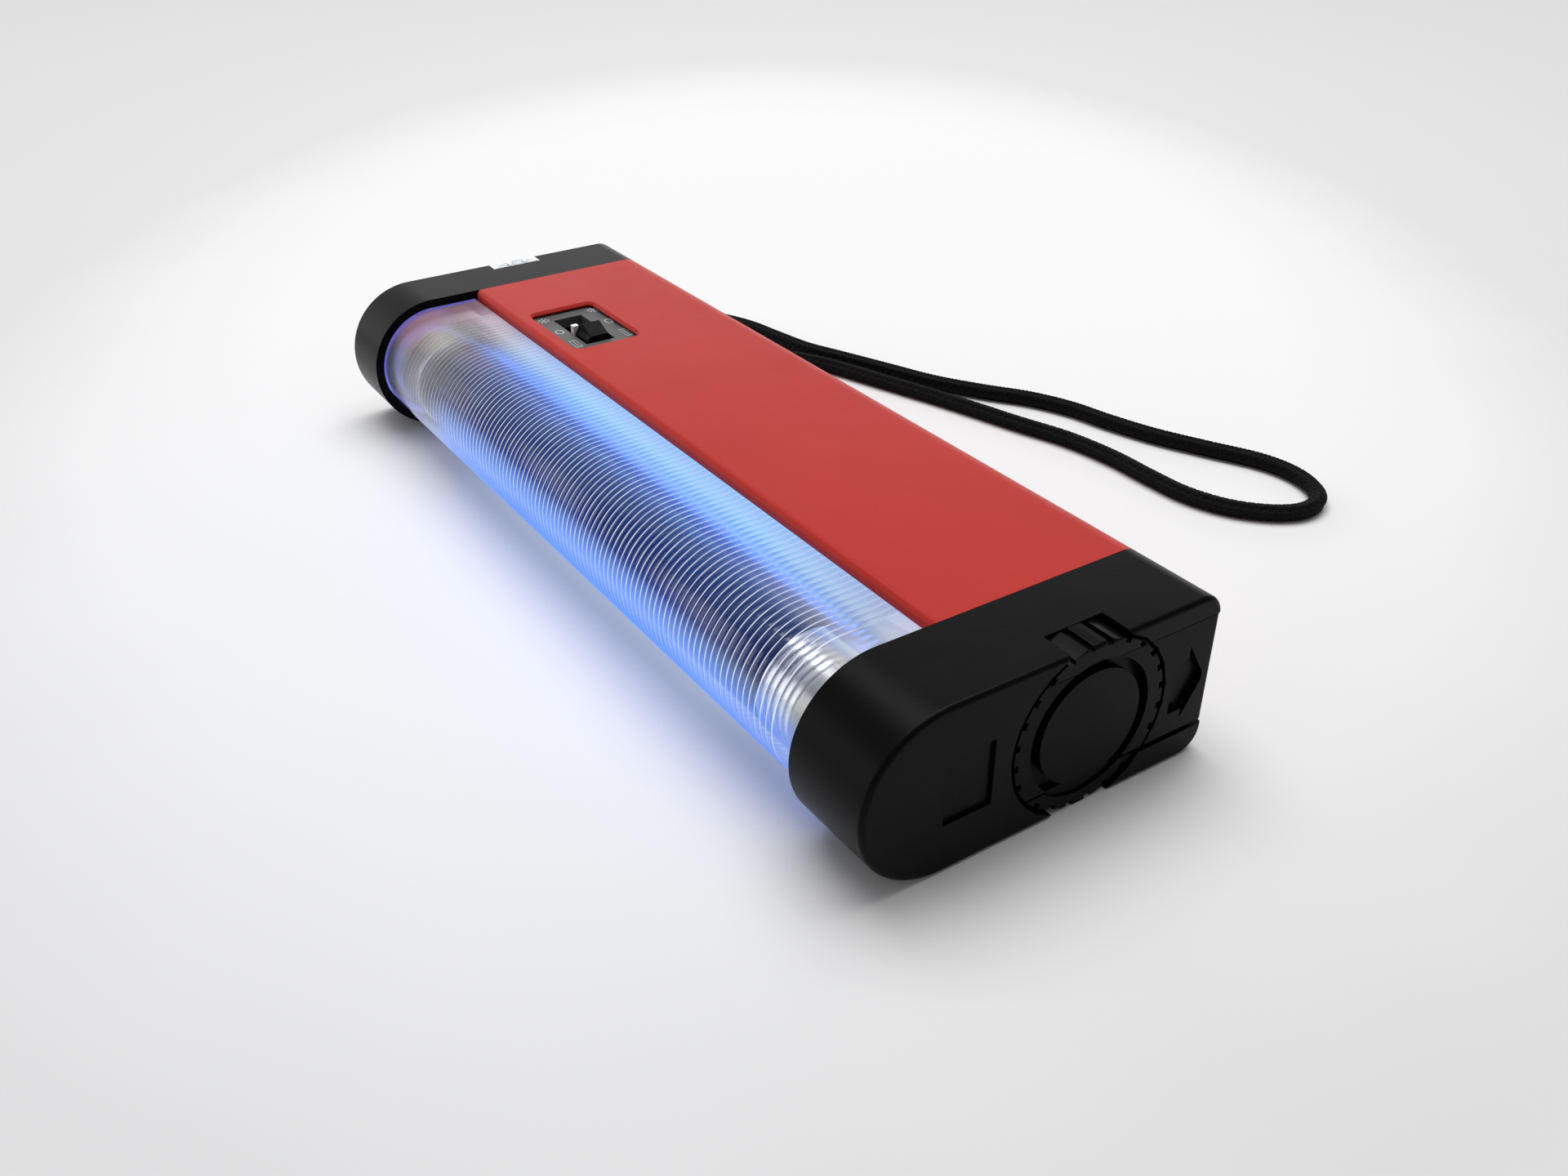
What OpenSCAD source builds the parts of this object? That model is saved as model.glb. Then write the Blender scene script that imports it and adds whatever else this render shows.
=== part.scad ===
// Hand-held battery lamp: a fluorescent tube behind a ribbed lens along one side,
// a torch in the far end, four AA cells behind a sliding door in the near end.
// +X runs from the lens side to the battery side, +Y from the door to the torch, +Z up.
// The origin is the centre of the flat underside.

/* [Case] */
// Overall length, end face to end face
case_len = 160; // [158:0.5:166]
// Overall width, round lens side to battery side
case_w = 55; // [54.5:0.5:58]
// Overall thickness
case_h = 24; // [24:0.5:25]
// Wall of the moulded case parts
wall = 1.5; // [1.4:0.1:1.6]
// Radius of the two long edges on the battery side
corner_r = 3.5; // [2.5:0.5:4]
// Length of the near end cap
near_cap_len = 14; // [13.5:0.5:15]
// Length of the far end cap
far_cap_len = 12; // [11:0.5:12]
// Width of the lens side, up to the edge of the shells
lens_w = 20.5; // [20:0.5:21]

/* [Lamp] */
// Diameter of the fluorescent tube
tube_d = 15.5; // [15:0.5:16]
// Length of the tube between its two faces, without pins
tube_len = 136; // [135:0.5:137]
// How far the lens stands back from the outline of the caps
lens_inset = 1.6; // [1.6:0.1:1.8]
// Wall of the lens
lens_wall = 1.4; // [1.2:0.1:1.4]

/* [Battery door] */
// Width of the door's front band
door_band = 16; // [15:0.2:16]
// Radius of the knurled grip round the door's thumb pad
grip_r = 11.95; // [11.5:0.05:11.95]
// Number of knurls in the full circle of the grip
knurls = 24; // [20:2:28]
// Travel that takes the door clear of its rails
door_travel = 34; // [33.5:0.5:36]

/* [Switch] */
// Length of the switch window along the case
window_len = 18.5; // [18:0.5:18.5]
// Width of the switch window
window_w = 11.9; // [11.6:0.1:12]
// Length of the knob
knob_len = 6; // [5.5:0.5:6]
// Travel from the tube position to the torch position
knob_travel = 6.4; // [6:0.2:6.4]

/* [Torch] */
// Radius of the torch lens
torch_r = 11.95; // [11.5:0.05:11.95]
// Distance of torch and door grip from the case's middle plane
torch_x = 6.6; // [6.4:0.1:6.8]

/* [Cells] */
// Diameter of an AA cell
cell_d = 14.3; // [14:0.1:14.3]
// Length of an AA cell with its button
cell_len = 50.5; // [50:0.1:50.5]

/* [Lanyard] */
// Diameter of the braided cord
cord_d = 2.8; // [2.4:0.1:2.8]

/* [Hidden] */
$fn = 64;
eps = 0.1;                                // how far a cut runs past a face

left = -case_w / 2;
right = case_w / 2;
near = -case_len / 2;
far = case_len / 2;
mid_z = case_h / 2;
split_x = left + lens_w;                  // plane between lens and shells
shell_y0 = near + near_cap_len;
shell_y1 = far - far_cap_len;
edge_r = 1.2;                             // round along the shells' edges beside the lens
rim_r = 0.7;                              // round along the rim of both end faces
spigot = 3;                               // how far the shells reach into the caps
spigot_t = 1.1;
fit = 0.1;                                // gap between parts that slide together once

lens_x = left + case_h / 2;               // axis of the round side
tube_x = lens_x - 0.7;                    // the tube stands a little off that axis
tube_y0 = -tube_len / 2 + 1;              // the tube's near face
tube_y1 = tube_y0 + tube_len;
tube_cap_len = 13;
pin_r = 1.2;
pin_len = 7;
pin_gap = 4.75;                           // between a tube's two pins

front_t = 2;                              // thickness of both end faces
door_x0 = -5.9;                           // left edge of the door's tongue
band_z0 = mid_z - 7.2;                    // the door's band sits a little above the middle
band_z1 = band_z0 + door_band;
channel_z0 = band_z0 - 0.8;               // wide gap under the band, hardly any above it
channel_z1 = band_z1 + 0.15;
tongue_z0 = band_z0 - 1.6;
tongue_z1 = band_z1 + 0.9;
groove_gap = 0.25;
band_t = 2.3;                             // depth of the door's front band
tongue_t = 1.7;
pocket_r = grip_r + 0.5;                  // round pocket in both end faces
pocket_depth = 4.8;
notch_half = 4.7;                         // half width of the notches into the near pocket
segment_inset = 0.45;                     // how far the grip's lower segment stands back
segment_groove = 0.35;                    // depth of the groove that runs on into that segment
label_x = [-15.8, -8.55];                 // sides of the shallow label recess
label_z = [7.2, 16.7];
label_depth = 0.5;
ring_r0 = 8;                              // groove round the thumb pad
ring_r1 = 9.5;
ring_depth = 1.4;
knurl_w = 1;
knurl_depth = 0.6;

cell_pitch = cell_d + 0.6;
cell_mid_x = (split_x + right) / 2 - 0.1;
cell_xs = [cell_mid_x - cell_pitch / 2, cell_mid_x + cell_pitch / 2];
button_len = 1;
button_r = 2.7;
cells_y0 = near + 5.6;                    // where the cells start behind the door contact
cells_y1 = cells_y0 + 2 * cell_len;
saddle_ys = [-58, -36, -12, 12];          // near faces of the ribs that hold the cells
saddle_t = 1.4;

window_x = 2.15;                          // middle of the switch window
window_y = 42.05;
window_r = 1.2;                           // round of the window's corners
lip = 0.45;                               // bevel round the top of the window
lip_z = case_h - 0.7;                     // underside of the lip over the plate's edge
ledge = 0.8;                              // how far the recess reaches under the lip
flange = 1.3;                             // and how far the plate's flange does below it
plate_z = case_h - 1;                     // top of the switch plate
slot_w = 5.3;
slot_y0 = window_y - 6.2;
slot_len = knob_len + knob_travel + 0.6;
knob_x0 = window_x - 2.3;
knob_w = 4.55;
knob_y0 = slot_y0 + 0.3;
post_x0 = window_x - 2.55;                // the slider's post stands at the knob's corner
post_w = 1.1;

board_z = 12.2;
board_t = 1.6;
board_y0 = 35.5;
board_y1 = 50.5;
board_posts = [[9.2, 37.3], [21, 38.2]];
case_screw_xs = [-3, 22.3];
case_screw_y = 57;
screw_r = 1.3;
lead_z = 20;                              // height of the lead that runs past the cells
bulkhead_y0 = 31.5;
bulkhead_y1 = 33.3;

bulb_y0 = 53;                             // rear of the bulb holder
torch_rim = 3.1;                          // length of the torch lens's knurled rim
seat_r = torch_r - 0.95;                  // radius of the torch lens behind its rim
far_notch_x = torch_x - 1;                // middle of the notches over the knurled rim
far_notch_half = 4.8;
reflector_y0 = 64.5;
reflector_y1 = far - 5;

knot_pos = [22.6, 74.6, 6.5];
knot_r = 2.6;
cord_side_y = 73.5;                       // where one end of the cord leaves the side
cord_end_x = 22.8;                        // where the other leaves the end face
cord_rest_z = cord_d / 2;

// Route of the lanyard: out of the side of the far cap, down to the table,
// round the loop and back into the cap's end face.
LANYARD_ROUTE = [
    [23.5, 73.5, 6.5], [28.5, 73.5, 6.5], [35, 72, 4.2], [41, 68.5, 2], [48, 62, cord_rest_z],
    [54, 54.5, cord_rest_z], [58.3, 46.5, cord_rest_z], [62.5, 34.5, cord_rest_z],
    [67.2, 20.5, cord_rest_z], [71.5, 5.5, cord_rest_z], [74.8, -5, cord_rest_z],
    [76.2, -15, cord_rest_z], [76.2, -24, cord_rest_z], [76.6, -32, cord_rest_z],
    [79, -39, cord_rest_z], [83.2, -44.2, cord_rest_z], [88, -46.9, cord_rest_z],
    [92.8, -46.4, cord_rest_z], [96.4, -43, cord_rest_z], [98, -37.2, cord_rest_z],
    [97, -30.5, cord_rest_z], [93, -22, cord_rest_z], [89, -13, cord_rest_z],
    [86.3, -4, cord_rest_z], [84.5, 4, cord_rest_z], [81, 12, cord_rest_z],
    [75.5, 20, cord_rest_z], [70.5, 28.5, cord_rest_z], [66.5, 38.5, cord_rest_z],
    [62.5, 48.5, cord_rest_z], [59.3, 56.5, cord_rest_z], [57.6, 65, cord_rest_z],
    [55.8, 74, cord_rest_z], [51.5, 83, cord_rest_z], [44.5, 90, cord_rest_z],
    [36, 93, 2], [28, 91, 4], [23.6, 86.3, 6.1], [22.8, 81.5, 6.5], [22.8, 76.8, 6.5]
];

// ---------------------------------------------------------------- helpers

// A flat outline in X and Z, drawn out along Y
module prism_y(y0, y1) {
    translate([0, y1, 0]) rotate([90, 0, 0]) linear_extrude(y1 - y0) children();
}

module rod_y(x, z, r, y0, y1) {
    translate([x, y1, z]) rotate([90, 0, 0]) cylinder(h = y1 - y0, r = r);
}

module rod_z(x, y, r, z0, z1) {
    translate([x, y, z0]) cylinder(h = z1 - z0, r = r);
}

module box(x0, x1, y0, y1, z0, z1) {
    translate([x0, y0, z0]) cube([x1 - x0, y1 - y0, z1 - z0]);
}

// Cross-section of the case, shrunk all round by inset
module case_outline(inset = 0) {
    translate([lens_x, mid_z]) circle(case_h / 2 - inset);
    translate([lens_x, inset]) square([right - corner_r - lens_x, case_h - 2 * inset]);
    translate([right - corner_r - 1, corner_r]) square([corner_r + 1 - inset, case_h - 2 * corner_r]);
    for (z = [corner_r, case_h - corner_r])
        translate([right - corner_r, z]) circle(corner_r - inset);
}

// Outside of the two shells, with a small round along both edges beside the lens
module shell_outline() {
    intersection() {
        case_outline();
        union() {
            translate([split_x, edge_r]) square([case_w, case_h - 2 * edge_r]);
            translate([split_x + edge_r, 0]) square([case_w, case_h]);
            for (z = [edge_r, case_h - edge_r])
                translate([split_x + edge_r, z]) circle(edge_r);
        }
    }
}

// The part of the case's cross-section between two planes across X
module outline_between(inset, x0, x1) {
    intersection() {
        case_outline(inset);
        translate([x0, -eps]) square([x1 - x0, case_h + 2 * eps]);
    }
}

function unit(v) = v / norm(v);

// A point on the smooth curve through four neighbours, t of the way from b to c
function curve_point(a, b, c, d, t) =
    0.5 * (2 * b + (c - a) * t + (2 * a - 5 * b + 4 * c - d) * t * t
           + (3 * b - a - 3 * c + d) * t * t * t);

// A route with each of its steps split in n along a smooth curve
function smooth_route(route, n) = let (last = len(route) - 1) [
    for (i = [0 : last - 1], k = [0 : n - 1])
        curve_point(route[max(i - 1, 0)], route[i], route[i + 1], route[min(i + 2, last)], k / n),
    route[last]
];

// A round bar of radius r swept along a route; side is never parallel to the route
module swept_bar(route, r, sides, side) {
    last = len(route) - 1;
    rings = [for (i = [0 : last])
        let (t = unit(route[min(i + 1, last)] - route[max(i - 1, 0)]),
             u = unit(cross(t, side)),
             v = cross(u, t))
        for (k = [0 : sides - 1])
            route[i] + r * (cos(360 * k / sides) * u + sin(360 * k / sides) * v)];
    walls = [for (i = [0 : last - 1], k = [0 : sides - 1])
        let (a = i * sides + k, b = i * sides + (k + 1) % sides)
        [a, a + sides, b + sides, b]];
    ends = [
        [for (k = [0 : sides - 1]) k],
        [for (k = [sides - 1 : -1 : 0]) last * sides + k]
    ];
    polyhedron(points = rings, faces = concat(walls, ends));
}

// Half section through the rim of a cap: reach across the case, depth from the end face
module rim_section(reach, depth) {
    square([reach - rim_r, depth]);
    translate([0, rim_r]) square([reach, depth - rim_r]);
    translate([reach - rim_r, rim_r]) circle(rim_r);
}

// Solid end of the case with its face at the near end, the rim rounded all the way
module cap_body(depth) {
    corner_x = right - corner_r;
    translate([lens_x, near, mid_z]) rotate([-90, 0, 0]) rotate([0, 0, 90])
        rotate_extrude(angle = 180) rim_section(case_h / 2, depth);
    translate([corner_x, near, mid_z]) rotate([0, -90, 0]) linear_extrude(corner_x - lens_x) {
        rim_section(case_h / 2, depth);
        mirror([1, 0]) rim_section(case_h / 2, depth);
    }
    translate([corner_x, near, corner_r]) linear_extrude(case_h - 2 * corner_r)
        rim_section(corner_r, depth);
    for (corner = [[corner_r, 0], [case_h - corner_r, 270]])
        translate([corner_x, near, corner[0]]) rotate([-90, 0, 0]) rotate([0, 0, corner[1]])
            rotate_extrude(angle = 90) rim_section(corner_r, depth);
}

// ---------------------------------------------------------------- case

// One half of the battery case, from its parting plane to z_dir's side
module shell_half(z_dir) {
    module half_space(y0, y1) {
        z0 = z_dir > 0 ? mid_z : -eps;
        box(split_x - eps, right + eps, y0, y1, z0, z0 + mid_z + eps);
    }
    intersection() {
        difference() {
            prism_y(shell_y0, shell_y1) shell_outline();
            prism_y(shell_y0 - eps, shell_y1 + eps)
                outline_between(wall, split_x + wall, right);
        }
        half_space(shell_y0, shell_y1);
    }
    for (y0 = [shell_y0 - spigot, shell_y1])
        intersection() {
            difference() {
                prism_y(y0, y0 + spigot) outline_between(wall + fit, split_x + 2, right);
                prism_y(y0 - eps, y0 + spigot + eps)
                    outline_between(wall + fit + spigot_t, split_x, right);
            }
            half_space(y0, y0 + spigot);
        }
    // joins the spigots to the case wall
    for (y0 = [shell_y0, shell_y1 - 2])
        intersection() {
            difference() {
                prism_y(y0, y0 + 2) outline_between(wall - eps, split_x + 2, right);
                prism_y(y0 - eps, y0 + 2 + eps)
                    outline_between(wall + fit + spigot_t, split_x, right);
            }
            half_space(y0, y0 + 2);
        }
}

// Thin ribs across the case that hold the cells, hollowed to the cells' shape
module cell_saddles(z0, z1) {
    difference() {
        for (y = saddle_ys)
            box(split_x + wall - eps, right - wall + eps, y, y + saddle_t, z0, z1);
        for (x = cell_xs) rod_y(x, mid_z, cell_d / 2 + fit, cells_y0, cells_y1);
        // way through for the lamp's lead
        box(split_x + wall, split_x + wall + 2.4, shell_y0, bulkhead_y0,
            lead_z - 1.2, lead_z + 1.2);
    }
}

// Rounds the shells' corner beside the lens and the far cap
module shell_corner_cut() {
    r = edge_r;
    difference() {
        box(split_x - eps, split_x + r, shell_y1 - r, shell_y1 + eps, -eps, case_h + eps);
        rod_z(split_x + r, shell_y1 - r, r, -1, case_h + 1);
    }
}

// Rounded outline of the switch window, grown all round
module window_outline(grow) {
    half_x = window_w / 2 - window_r;
    half_y = window_len / 2 - window_r;
    r = window_r + grow;
    translate([window_x, window_y]) {
        square([2 * half_x, 2 * (half_y + r)], center = true);
        square([2 * (half_x + r), 2 * half_y], center = true);
        for (x = [-half_x, half_x], y = [-half_y, half_y])
            translate([x, y]) circle(r);
    }
}

// Bevel round the top of the window: two crossing trapeziums and a cone in each corner
module window_bevel() {
    half_x = window_w / 2 - window_r;
    half_y = window_len / 2 - window_r;
    rise = lip + eps;
    module trapezium(half) {
        polygon([[-half, 0], [half, 0], [half + rise, rise], [-half - rise, rise]]);
    }
    translate([window_x, window_y, case_h - lip]) {
        rotate([90, 0, 0]) linear_extrude(2 * half_y, center = true) trapezium(window_w / 2);
        rotate([90, 0, 90]) linear_extrude(2 * half_x, center = true) trapezium(window_len / 2);
        for (x = [-half_x, half_x], y = [-half_y, half_y])
            translate([x, y, 0]) cylinder(h = rise, r1 = window_r, r2 = window_r + rise);
    }
}

module upper_shell() {
    color("#c04745")
    difference() {
        union() {
            shell_half(1);
            cell_saddles(mid_z + 4.5, case_h - wall + eps);
            for (x = case_screw_xs) rod_z(x, case_screw_y, 2.6, mid_z, case_h - wall + eps);
        }
        translate([0, 0, lip_z - eps]) linear_extrude(case_h - lip_z + 2 * eps) window_outline(0);
        window_bevel();
        // recess under the lip, for the edge of the switch plate
        translate([0, 0, case_h - wall - eps]) linear_extrude(lip_z - case_h + wall + eps)
            window_outline(ledge);
        shell_corner_cut();
        for (x = case_screw_xs) rod_z(x, case_screw_y, screw_r, mid_z - eps, case_h - wall - 2);
    }
}

module lower_shell() {
    color("#b84340")
    difference() {
        union() {
            shell_half(-1);
            cell_saddles(wall - eps, mid_z - 4.5);
            for (x = case_screw_xs) rod_z(x, case_screw_y, 3, wall - eps, mid_z);
            for (p = board_posts) rod_z(p.x, p.y, 2, wall - eps, board_z);
        }
        for (x = case_screw_xs) {
            rod_z(x, case_screw_y, screw_r + 0.2, -eps, mid_z + eps);
            rod_z(x, case_screw_y, 2.3, -eps, 3);
        }
        for (p = board_posts) rod_z(p.x, p.y, 1, 5, board_z + eps);
        shell_corner_cut();
    }
}

module case_screws() {
    color("silver")
    for (x = case_screw_xs) {
        rod_z(x, case_screw_y, 2.1, 1.4, 3);
        rod_z(x, case_screw_y, screw_r - 0.1, 3, 19);
    }
}

// Slots across the rim of a disc round the torch's axis, where they lie between z0 and z1
module knurl_slots(r, y0, y1, z0, z1) {
    for (i = [0 : knurls - 1]) {
        a = 360 * (i + 0.5) / knurls;
        z = mid_z + r * sin(a);
        if (z > z0 && z < z1)
            translate([torch_x, y0, mid_z]) rotate([0, -a, 0])
                translate([r - knurl_depth, 0, -knurl_w / 2])
                    cube([2 * knurl_depth, y1 - y0, knurl_w]);
    }
}

// Flat outline of the door's front band: straight to the battery side, round at the grip
module band_outline(z0, z1, r) {
    intersection() {
        union() {
            translate([torch_x, mid_z]) circle(r);
            translate([torch_x, 0]) square([right + 1 - torch_x, case_h]);
        }
        translate([left, z0]) square([case_w + 1, z1 - z0]);
    }
}

// The part of a disc round the torch's axis that lies between two heights
module segment_outline(r, z0, z1) {
    intersection() {
        translate([torch_x, mid_z]) circle(r);
        translate([left, z0]) square([case_w, z1 - z0]);
    }
}

// The round pocket and its notches without the grip and the door's channel
module pocket_outline() {
    difference() {
        union() {
            translate([torch_x, mid_z]) circle(pocket_r);
            translate([torch_x - notch_half, -eps]) square([2 * notch_half, case_h + 2 * eps]);
        }
        translate([torch_x, mid_z]) circle(grip_r);
        translate([left, channel_z0]) square([case_w, channel_z1 - channel_z0]);
    }
}

// Groove round the thumb pad where it runs on into the cap, between two heights
module pad_groove(r, depth, z0, z1) {
    prism_y(near - eps, near + depth) difference() {
        segment_outline(r, z0, z1);
        segment_outline(ring_r0, z0 - eps, z1 + eps);
    }
}

module near_end_cap() {
    color("#2b2c2e")
    difference() {
        cap_body(near_cap_len);
        // hollow behind the front wall, in front of the lamp
        prism_y(near + front_t, shell_y0 + eps) outline_between(wall, left, split_x - wall);
        // hollow behind the door block, for the cells and the shells' spigots
        prism_y(near + 6.6, shell_y0 + eps) outline_between(wall, split_x, right);
        prism_y(shell_y0 - spigot - 0.4, shell_y0 + eps) case_outline(wall);
        // channel and groove in which the door slides out to the battery side
        prism_y(near - eps, near + band_t + 0.2) band_outline(channel_z0, channel_z1, pocket_r);
        box(door_x0 - 0.4, right + 1, near + band_t - 0.1, near + band_t + tongue_t + 0.2,
            tongue_z0 - groove_gap, tongue_z1 + groove_gap);
        box(door_x0, right + 1, near + 4, near + 5.6, mid_z - 5.5, mid_z + 5.5);
        // hole for the lamp's lead
        box(split_x - wall - eps, split_x + eps, near + 8, near + 10.5, 18.6, 21.4);
        // battery mouth
        box(split_x + wall, right - wall, near + 4, near + 6.8, mid_z - 7.6, mid_z + 7.6);
        // round pocket; it breaks out through the top and the bottom
        prism_y(near - eps, near + pocket_depth) pocket_outline();
        prism_y(near - eps, near + segment_inset) segment_outline(pocket_r, -1, channel_z0);
        pad_groove(ring_r1 + 0.6, segment_inset + segment_groove, -1, channel_z0 + eps);
        pad_groove(ring_r1, ring_depth, channel_z1 - eps, case_h);
        knurl_slots(grip_r, near - eps, near + pocket_depth, -1, channel_z0 - knurl_w / 2);
        knurl_slots(grip_r, near - eps, near + pocket_depth, channel_z1 + knurl_w / 2, case_h + 1);
        box(label_x[0], label_x[1], near - eps, near + label_depth, label_z[0], label_z[1]);
    }
}

module far_end_cap() {
    color("#2b2c2e")
    difference() {
        union() {
            difference() {
                mirror([0, 1, 0]) cap_body(far_cap_len);
                prism_y(shell_y1 - eps, far - front_t) case_outline(wall);
            }
            // collar round the torch lens
            intersection() {
                rod_y(torch_x, mid_z, pocket_r + 1.4, far - pocket_depth - 1, far - front_t + eps);
                prism_y(shell_y1, far) case_outline(wall / 2);
            }
        }
        // seat of the torch lens; its rim shows in a notch at the top and at the bottom
        rod_y(torch_x, mid_z, pocket_r, far - torch_rim, far + eps);
        rod_y(torch_x, mid_z, seat_r + 0.25, far - pocket_depth, far);
        rod_y(torch_x, mid_z, seat_r - 0.6, shell_y1, far);
        box(far_notch_x - far_notch_half, far_notch_x + far_notch_half, far - torch_rim, far + eps,
            -eps, case_h + eps);
        // the two holes of the lanyard
        translate([right - wall - 1, cord_side_y, 6.5]) rotate([0, 90, 0])
            cylinder(h = wall + 2, r = cord_d / 2 + 0.3);
        rod_y(cord_end_x, 6.5, cord_d / 2 + 0.3, far - front_t - eps, far + eps);
    }
}

// ---------------------------------------------------------------- lamp

module ribbed_lens() {
    color("#9fb4e8", 0.5)
    prism_y(shell_y0 - 2.4, shell_y1 + 2.4)
        difference() {
            outline_between(lens_inset, left, split_x - fit);
            outline_between(lens_inset + lens_wall, left - 1, split_x + 1);
        }
}

// Polished trough behind the tube: an arc of a wide circle
module lamp_reflector() {
    trough_r = 13;
    centre_x = split_x - 0.3 - trough_r;
    edge = case_h / 2 - lens_inset - lens_wall - 0.2;
    color("gainsboro")
    prism_y(shell_y0 + 0.5, shell_y1 - 0.5)
        intersection() {
            difference() {
                translate([centre_x, mid_z]) circle(trough_r);
                translate([centre_x, mid_z]) circle(trough_r - 0.5);
            }
            translate([centre_x, mid_z - edge]) square([trough_r, 2 * edge]);
        }
}

module tube_glass() {
    color("#2a2f6a", 0.6)
    difference() {
        rod_y(tube_x, mid_z, tube_d / 2, tube_y0 + 1, tube_y1 - 1);
        rod_y(tube_x, mid_z, tube_d / 2 - 0.8, tube_y0 + 2, tube_y1 - 2);
    }
}

module tube_end_caps() {
    color("silver")
    for (end = [0, 1]) {
        face = end == 0 ? tube_y0 : tube_y1;
        inner = end == 0 ? tube_y0 + tube_cap_len : tube_y1 - tube_cap_len;
        glass = end == 0 ? tube_y0 + 1 : tube_y1 - 1;
        difference() {
            rod_y(tube_x, mid_z, tube_d / 2 + 0.25, min(face, inner), max(face, inner));
            rod_y(tube_x, mid_z, tube_d / 2, min(glass, inner) - (end == 0 ? 0 : eps),
                  max(glass, inner) + (end == 0 ? eps : 0));
            for (dz = [-pin_gap / 2, pin_gap / 2])
                rod_y(tube_x, mid_z + dz, pin_r, min(face, glass) - eps, max(face, glass) + eps);
        }
    }
}

module tube_pins() {
    color("goldenrod")
    for (dz = [-pin_gap / 2, pin_gap / 2]) {
        rod_y(tube_x, mid_z + dz, pin_r, tube_y0 - pin_len, tube_y0 + 1);
        rod_y(tube_x, mid_z + dz, pin_r, tube_y1 - 1, tube_y1 + pin_len);
    }
}

// A block that takes the tube's pins, its mouth slotted so that the tube drops in
module lamp_holder(y0, y1) {
    color("ivory")
    difference() {
        prism_y(y0, y1)
            outline_between(lens_inset + lens_wall + fit, tube_x - 6, tube_x + 5.5);
        box(tube_x - pin_r - 0.4, tube_x + pin_r + 0.4, y0 + 1, y1 - 1,
            mid_z - pin_gap / 2 - pin_r - 0.8, case_h - wall + eps);
        for (dz = [-pin_gap / 2, pin_gap / 2])
            rod_y(tube_x, mid_z + dz, pin_r + 0.1, y0 - eps, y1 + eps);
    }
}

module near_lamp_holder() {
    lamp_holder(near + front_t + 0.2, tube_y0 - 0.1);
}

module far_lamp_holder() {
    lamp_holder(tube_y1 + 0.1, far - front_t - 0.2);
}

// Leaves of sprung bronze on both sides of each pair of pins
module lamp_holder_contacts() {
    color("peru")
    for (y0 = [tube_y0 - 6, tube_y1 + 1.6])
        for (dz = [-pin_gap / 2, pin_gap / 2])
            box(tube_x + pin_r, tube_x + pin_r + 0.35, y0, y0 + 4.4, mid_z + dz - 1, mid_z + dz + 1);
}

// ---------------------------------------------------------------- battery door

module arrow_outline() {
    translate([right - 7.2, mid_z - 4]) square([3.2, 7.6]);
    polygon([[right - 4.8, mid_z - 5.5], [right - 1.8, mid_z - 0.5], [right - 1.8, mid_z + 0.5],
             [right - 4.8, mid_z + 5.5]]);
}

module battery_door() {
    door_x1 = right - 0.2;
    face_y = near + 0.05;
    color("#303134")
    difference() {
        union() {
            prism_y(face_y, near + band_t) intersection() {
                band_outline(band_z0, band_z1, grip_r);
                translate([left, 0]) square([door_x1 - left, case_h]);
            }
            box(door_x0, door_x1, near + band_t - eps, near + band_t + tongue_t,
                tongue_z0, tongue_z1);
        }
        // the band's end is rounded like the cap's rim
        difference() {
            box(door_x1 - rim_r, right, near - eps, face_y + rim_r, 0, case_h);
            rod_z(door_x1 - rim_r, face_y + rim_r, rim_r, -1, case_h + 1);
        }
        // groove round the thumb pad
        prism_y(near - eps, near + ring_depth) difference() {
            translate([torch_x, mid_z]) circle(ring_r1);
            translate([torch_x, mid_z]) circle(ring_r0);
        }
        // the rest of the knurled circle, cut into the band
        prism_y(near - eps, near + 1.2) intersection() {
            difference() {
                translate([torch_x, mid_z]) circle(pocket_r);
                translate([torch_x, mid_z]) circle(grip_r);
            }
            translate([torch_x, 0]) square([case_w, case_h]);
        }
        knurl_slots(grip_r, near - eps, near + 1.2, band_z0, band_z1);
        prism_y(near - eps, near + 0.95) arrow_outline();
    }
}

// Nickel strip that joins the two rows of cells, with a dimple for each row
module door_contact() {
    plate_y = near + band_t + tongue_t;
    color("silver")
    union() {
        box(cell_xs[0] - 4, cell_xs[1] + 4, plate_y, plate_y + 0.3, mid_z - 4.5, mid_z + 4.5);
        for (x = cell_xs) rod_y(x, mid_z, 2.5, plate_y + 0.2, cells_y0 - 0.02);
    }
}

// ---------------------------------------------------------------- cells

// A cell; the button is at its near end when button_near is true
module cell(column, row, button_near) {
    y0 = cells_y0 + row * cell_len + (button_near ? button_len : 0);
    x = cell_xs[column];
    rod_y(x, mid_z, cell_d / 2, y0, y0 + cell_len - button_len);
}

module cell_near_left() {
    color("#28506e") cell(0, 0, true);
}

module cell_far_left() {
    color("#28506e") cell(0, 1, true);
}

module cell_near_right() {
    color("#28506e") cell(1, 0, false);
}

module cell_far_right() {
    color("#28506e") cell(1, 1, false);
}

module cell_buttons() {
    color("silver")
    for (row = [0, 1]) {
        y0 = cells_y0 + row * cell_len;
        rod_y(cell_xs[0], mid_z, button_r, y0, y0 + button_len);
        rod_y(cell_xs[1], mid_z, button_r, y0 + cell_len - button_len, y0 + cell_len);
    }
}

module battery_bulkhead() {
    color("#3a3b3e")
    difference() {
        union() {
            prism_y(bulkhead_y0, bulkhead_y1)
                outline_between(wall + fit, split_x + wall + fit, right);
            box(cell_xs[1] - 6, cell_xs[1] + 6, cells_y1 + 1, bulkhead_y0 + eps, 6, 18);
        }
        // notches for the lamp's lead and for the edge of the switch plate
        box(split_x + wall, split_x + wall + 3, bulkhead_y0 - eps, bulkhead_y1 + eps, 18, case_h);
        box(split_x + wall, window_x + window_w / 2 + flange + 0.2, bulkhead_y0 - eps,
            bulkhead_y1 + eps, plate_z - 2.1, case_h);
    }
}

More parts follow.
